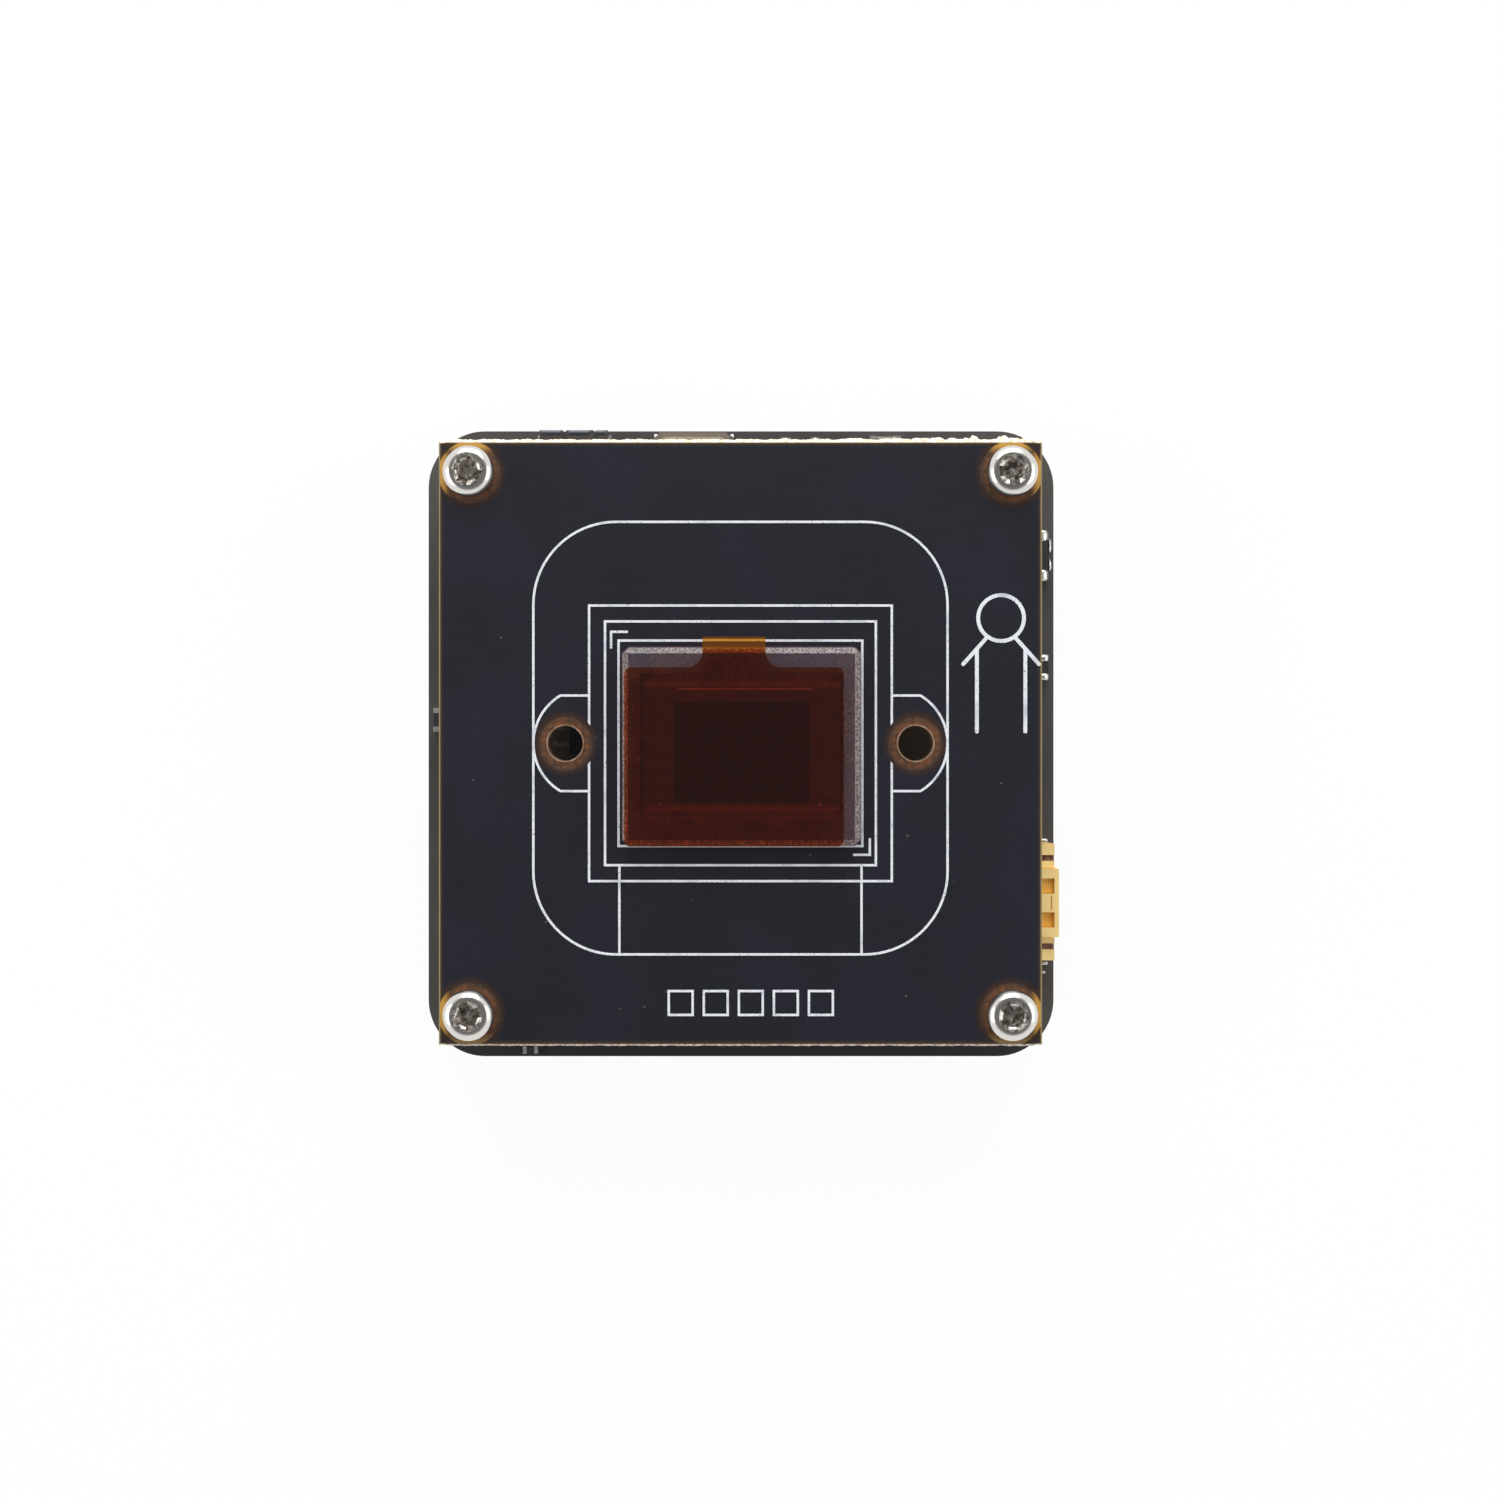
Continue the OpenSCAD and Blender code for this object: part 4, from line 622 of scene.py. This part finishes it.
def chip_solder():
    """Solder at the small chips' ends on all three faces that carry them, heaped on the right-hand ones in front,
    and at the upper crystal's two outer corners."""
    solder_skirts("front_chip_solder", solids("front_capacitor_ends"), 1, 0.22 * MM, 0.7, FRONT)
    right = [box for box in solids("front_resistor_ends") if box[0][0] > 0]
    solder_domes("front_resistor_solder", right)
    corners = [(np.array((x * MM, 20.42 * MM, FRONT)), np.array(((x + 0.3) * MM, 20.68 * MM, FRONT + 0.5 * MM)))
               for x in (-5.85, -0.75)]
    solder_domes("crystal_corner_solder", corners)
    solder_skirts("rear_chip_solder", solids("rear_capacitor_ends"), -1, 0.2 * MM, 0.7, REAR)
    solder_skirts("sensor_chip_solder", solids("sensor_capacitor_ends"), -1, 0.2 * MM, 0.7, SENSOR_REAR)


chip_solder()


def latch_webs():
    """Thin nylon webs in the microphone socket's two windows: a shallow dish over each window, 0.06 mm times
    (1 - u^4)(1 - v^4) lower in its middle, lying just over the moulded floor; their amber is painted light, standing in
    for light scattered inside the wall."""
    across = np.linspace(-1, 1, 9)
    side, v, u = np.meshgrid((-1, 1), across, across, indexing="ij")
    # Half the windows' length and width, and half the distance between them
    long, wide, apart = 1.095 * MM, 0.495 * MM, 1.105 * MM
    x = SOCKET_HIGH[0] - 1.4 * MM + long * u
    y = (SOCKET_LOW[1] + SOCKET_HIGH[1]) / 2 + side * apart + wide * v
    z = SOCKET_HIGH[2] - 0.27 * MM - 0.06 * MM * (1 - u**4) * (1 - v**4)
    # Painted light: the webs' amber stands in for light scattered inside the nylon wall
    amber = finish("natural_nylon_amber", nylon, "#f4a62c", "#ffca5a", 0.4, 0.0)
    faces = quads(len(across), len(across), 2, closed=False)
    piece = settle("latch_window_webs", np.stack([x, y, z], axis=-1), faces, amber)
    skin = piece.modifiers.new("thickness", "SOLIDIFY")
    skin.thickness = 0.03 * MM
    skin.offset = 1


latch_webs()


def rounded_bars(name, spans, y, z, radius, material):
    """Half-round bars along X: the half circle of the radius, closed by its flat underside, carried along each
    span, and shrunk to a point over one radius at both ends by the square root of 1 - t^2."""
    turn = np.linspace(0, np.pi, 9)
    end_rings = 5
    t = np.append(np.linspace(-1, 0, end_rings), np.linspace(0, 1, end_rings))[:, None]
    size = radius * np.sqrt(1 - t**2)
    start, end = (np.array(side)[:, None, None] for side in zip(*spans))
    x = np.where(np.arange(len(t))[:, None] < end_rings, start + radius, end - radius) + radius * t + 0 * turn
    y = y + size * np.cos(turn) + 0 * x
    z = z + size * np.sin(turn) + 0 * x
    settle(name, np.stack([x, y, z], axis=-1), quads(len(t), len(turn), len(spans)), material)


def latch_bars():
    """Three glossy ribs along the top of the service socket, which its plug's latch rides over; their nylon is painted
    a lighter blue-grey, a painted sheen.
    """
    radius = 0.14 * MM
    spans = [(left * MM, right * MM) for left, right in ((-13.3, -11.9), (-11.5, -10.0), (-9.7, -8.9))]
    # Painted highlight: the ribs' black nylon is painted lighter and bluish for the sheen along them
    glossy = finish("black_nylon_glossy", nylon, "#50545f", "#6c7180", 0.3, 0.0)
    rounded_bars("service_latch_bars", spans, SERVICE_HIGH[1] - radius, SERVICE_HIGH[2] - 0.02 * MM, radius, glossy)


def tab_solder():
    """Solder run out in front of both ends of the microphone socket's tabs."""
    span = [(TABS_LOW[0] + 0.2 * MM, TABS_HIGH[0])]
    for name, end in (("microphone_solder_upper", TABS_HIGH), ("microphone_solder_lower", TABS_LOW)):
        rounded_bars(name, span, end[1] - 0.2 * MM, FRONT, 0.13 * MM, MATERIALS["solder"])


latch_bars()
tab_solder()


def bond_wires():
    """Gold wires from the die's pads down to the package's floor: a square tube, shrunk to a point at its ends,
    carried along z = z0 + (z1 - z0) s + h (4 s (1 - s))^0.7 over the straight line between its ends, where s runs
    from 0 to 1."""
    s = np.linspace(0, 1, 11)[:, None]
    turn = np.linspace(0, 2 * np.pi, 4, endpoint=False)
    thick = 0.02 * MM * np.where((s == 0) | (s == 1), 0, 1)
    places = np.arange(DIE_LOW[0] + 0.3 * MM, DIE_HIGH[0] - 0.3 * MM, 0.32 * MM)
    middle, half = (DIE_LOW[1] + DIE_HIGH[1]) / 2, (DIE_HIGH[1] - DIE_LOW[1]) / 2
    side = np.repeat([1.0, -1.0], len(places))[:, None, None]
    x = np.tile(places, 2)[:, None, None] + thick * np.cos(turn)
    y = middle + side * (half - 0.1 * MM + 0.4 * MM * s) + 0 * x
    line = DIE_HIGH[2] + (DIE_LOW[2] - DIE_HIGH[2]) * s + 0.2 * MM * (4 * s * (1 - s)) ** 0.7
    z = line + thick * np.sin(turn) + 0 * x
    faces = quads(len(s), len(turn), len(side))
    settle("bond_wires", np.stack([x, y, z], axis=-1), faces, MATERIALS["gold_plating"])


bond_wires()


# ---- Light, floor, camera ----

def studio_floor(node):
    """Matt white paper: white to the eye and to mirrors, with what the lamps leave of the shadow mixed in."""
    seen = node("LightPath").node.outputs
    direct = node("Math", {0: seen["Is Camera Ray"], 1: seen["Is Glossy Ray"]}, operation="MAXIMUM")
    shown = node("Math", {0: direct, 1: seen["Is Transmission Ray"]}, operation="MAXIMUM")
    amount = node("Math", {0: shown, 1: 0.93}, operation="MULTIPLY")
    paper = node("BsdfDiffuse", {"Color": "#f4f4f2"})
    white = node("Emission", {"Color": "#ffffff", "Strength": 1.0})
    node("OutputMaterial", {"Surface": node("MixShader", {0: amount, 1: paper, 2: white})})


def floor():
    """A flat square floor under the module, far wider than the view."""
    reach, level = 3.0, cad_box[0][2]
    mesh = bpy.data.meshes.new("floor")
    corners = [(-reach, -reach, level), (reach, -reach, level), (reach, reach, level), (-reach, reach, level)]
    mesh.from_pydata(corners, [], [(0, 1, 2, 3)])
    piece = bpy.data.objects.new("floor", mesh)
    bpy.context.scene.collection.objects.link(piece)
    material = bpy.data.materials.new("pale_paper_floor")
    material.use_nodes = True
    material.node_tree.nodes.clear()
    studio_floor(partial(add, material.node_tree))
    piece.data.materials.append(material)


floor()


def world():
    """White surroundings for the eye, for mirrors and for glass near the horizon, darker overhead where the camera
    hangs."""
    made = bpy.data.worlds.new("studio")
    bpy.context.scene.world = made
    made.use_nodes = True
    made.node_tree.nodes.clear()
    node = partial(add, made.node_tree)
    seen = node("LightPath").node.outputs
    way = node("TexCoord", out="Generated")
    up = node("SeparateXYZ", {"Vector": way}, "Z")
    overhead = node("MapRange", {"Value": up, "From Min": 0.55, "From Max": 0.93, "To Min": 1.0, "To Max": 0.18},
                    interpolation_type="SMOOTHSTEP")
    onward = node("Math", {0: seen["Is Glossy Ray"], 1: seen["Is Transmission Ray"]}, operation="MAXIMUM")
    mirrored = node("Math", {0: onward, 1: overhead}, operation="MULTIPLY")
    known = node("Math", {0: seen["Is Camera Ray"], 1: mirrored}, operation="MAXIMUM")
    either = node("Math", {0: seen["Is Camera Ray"], 1: onward}, operation="MAXIMUM")
    # Everything else, which lights the matt surfaces, gets half
    rest = node("Math", {0: either, 1: -0.5, 2: 0.5}, operation="MULTIPLY_ADD")
    strength = node("Math", {0: known, 1: rest}, operation="ADD")
    node("OutputWorld", {"Surface": node("Background", {"Color": "#ffffff", "Strength": strength})})


world()


def softbox(name, place, size, watts):
    """A square area lamp that faces the module."""
    lamp = bpy.data.lights.new(name, "AREA")
    lamp.size = size
    lamp.energy = watts
    piece = bpy.data.objects.new(name, lamp)
    bpy.context.scene.collection.objects.link(piece)
    piece.location = place
    piece.rotation_euler = (-Vector(place)).to_track_quat("-Z", "Y").to_euler()


softbox("softbox_top", (0.0, 0.42, 0.26), 0.4, 2.2)
softbox("softbox_left", (-0.45, -0.05, 0.3), 0.35, 0.8)
softbox("softbox_right", (0.45, 0.0, 0.3), 0.35, 0.7)


def camera():
    """Straight down on the sensor, at the distance that gives the two boards their perspective."""
    lens = bpy.data.cameras.new("camera")
    lens.sensor_width = 36.0
    lens.lens = 43.79
    lens.clip_start = 0.001
    piece = bpy.data.objects.new("camera", lens)
    bpy.context.scene.collection.objects.link(piece)
    piece.location = (0.6 * MM, -0.42 * MM, 114.6 * MM)
    bpy.context.scene.camera = piece


camera()
bpy.context.scene.view_settings.view_transform = "Standard"
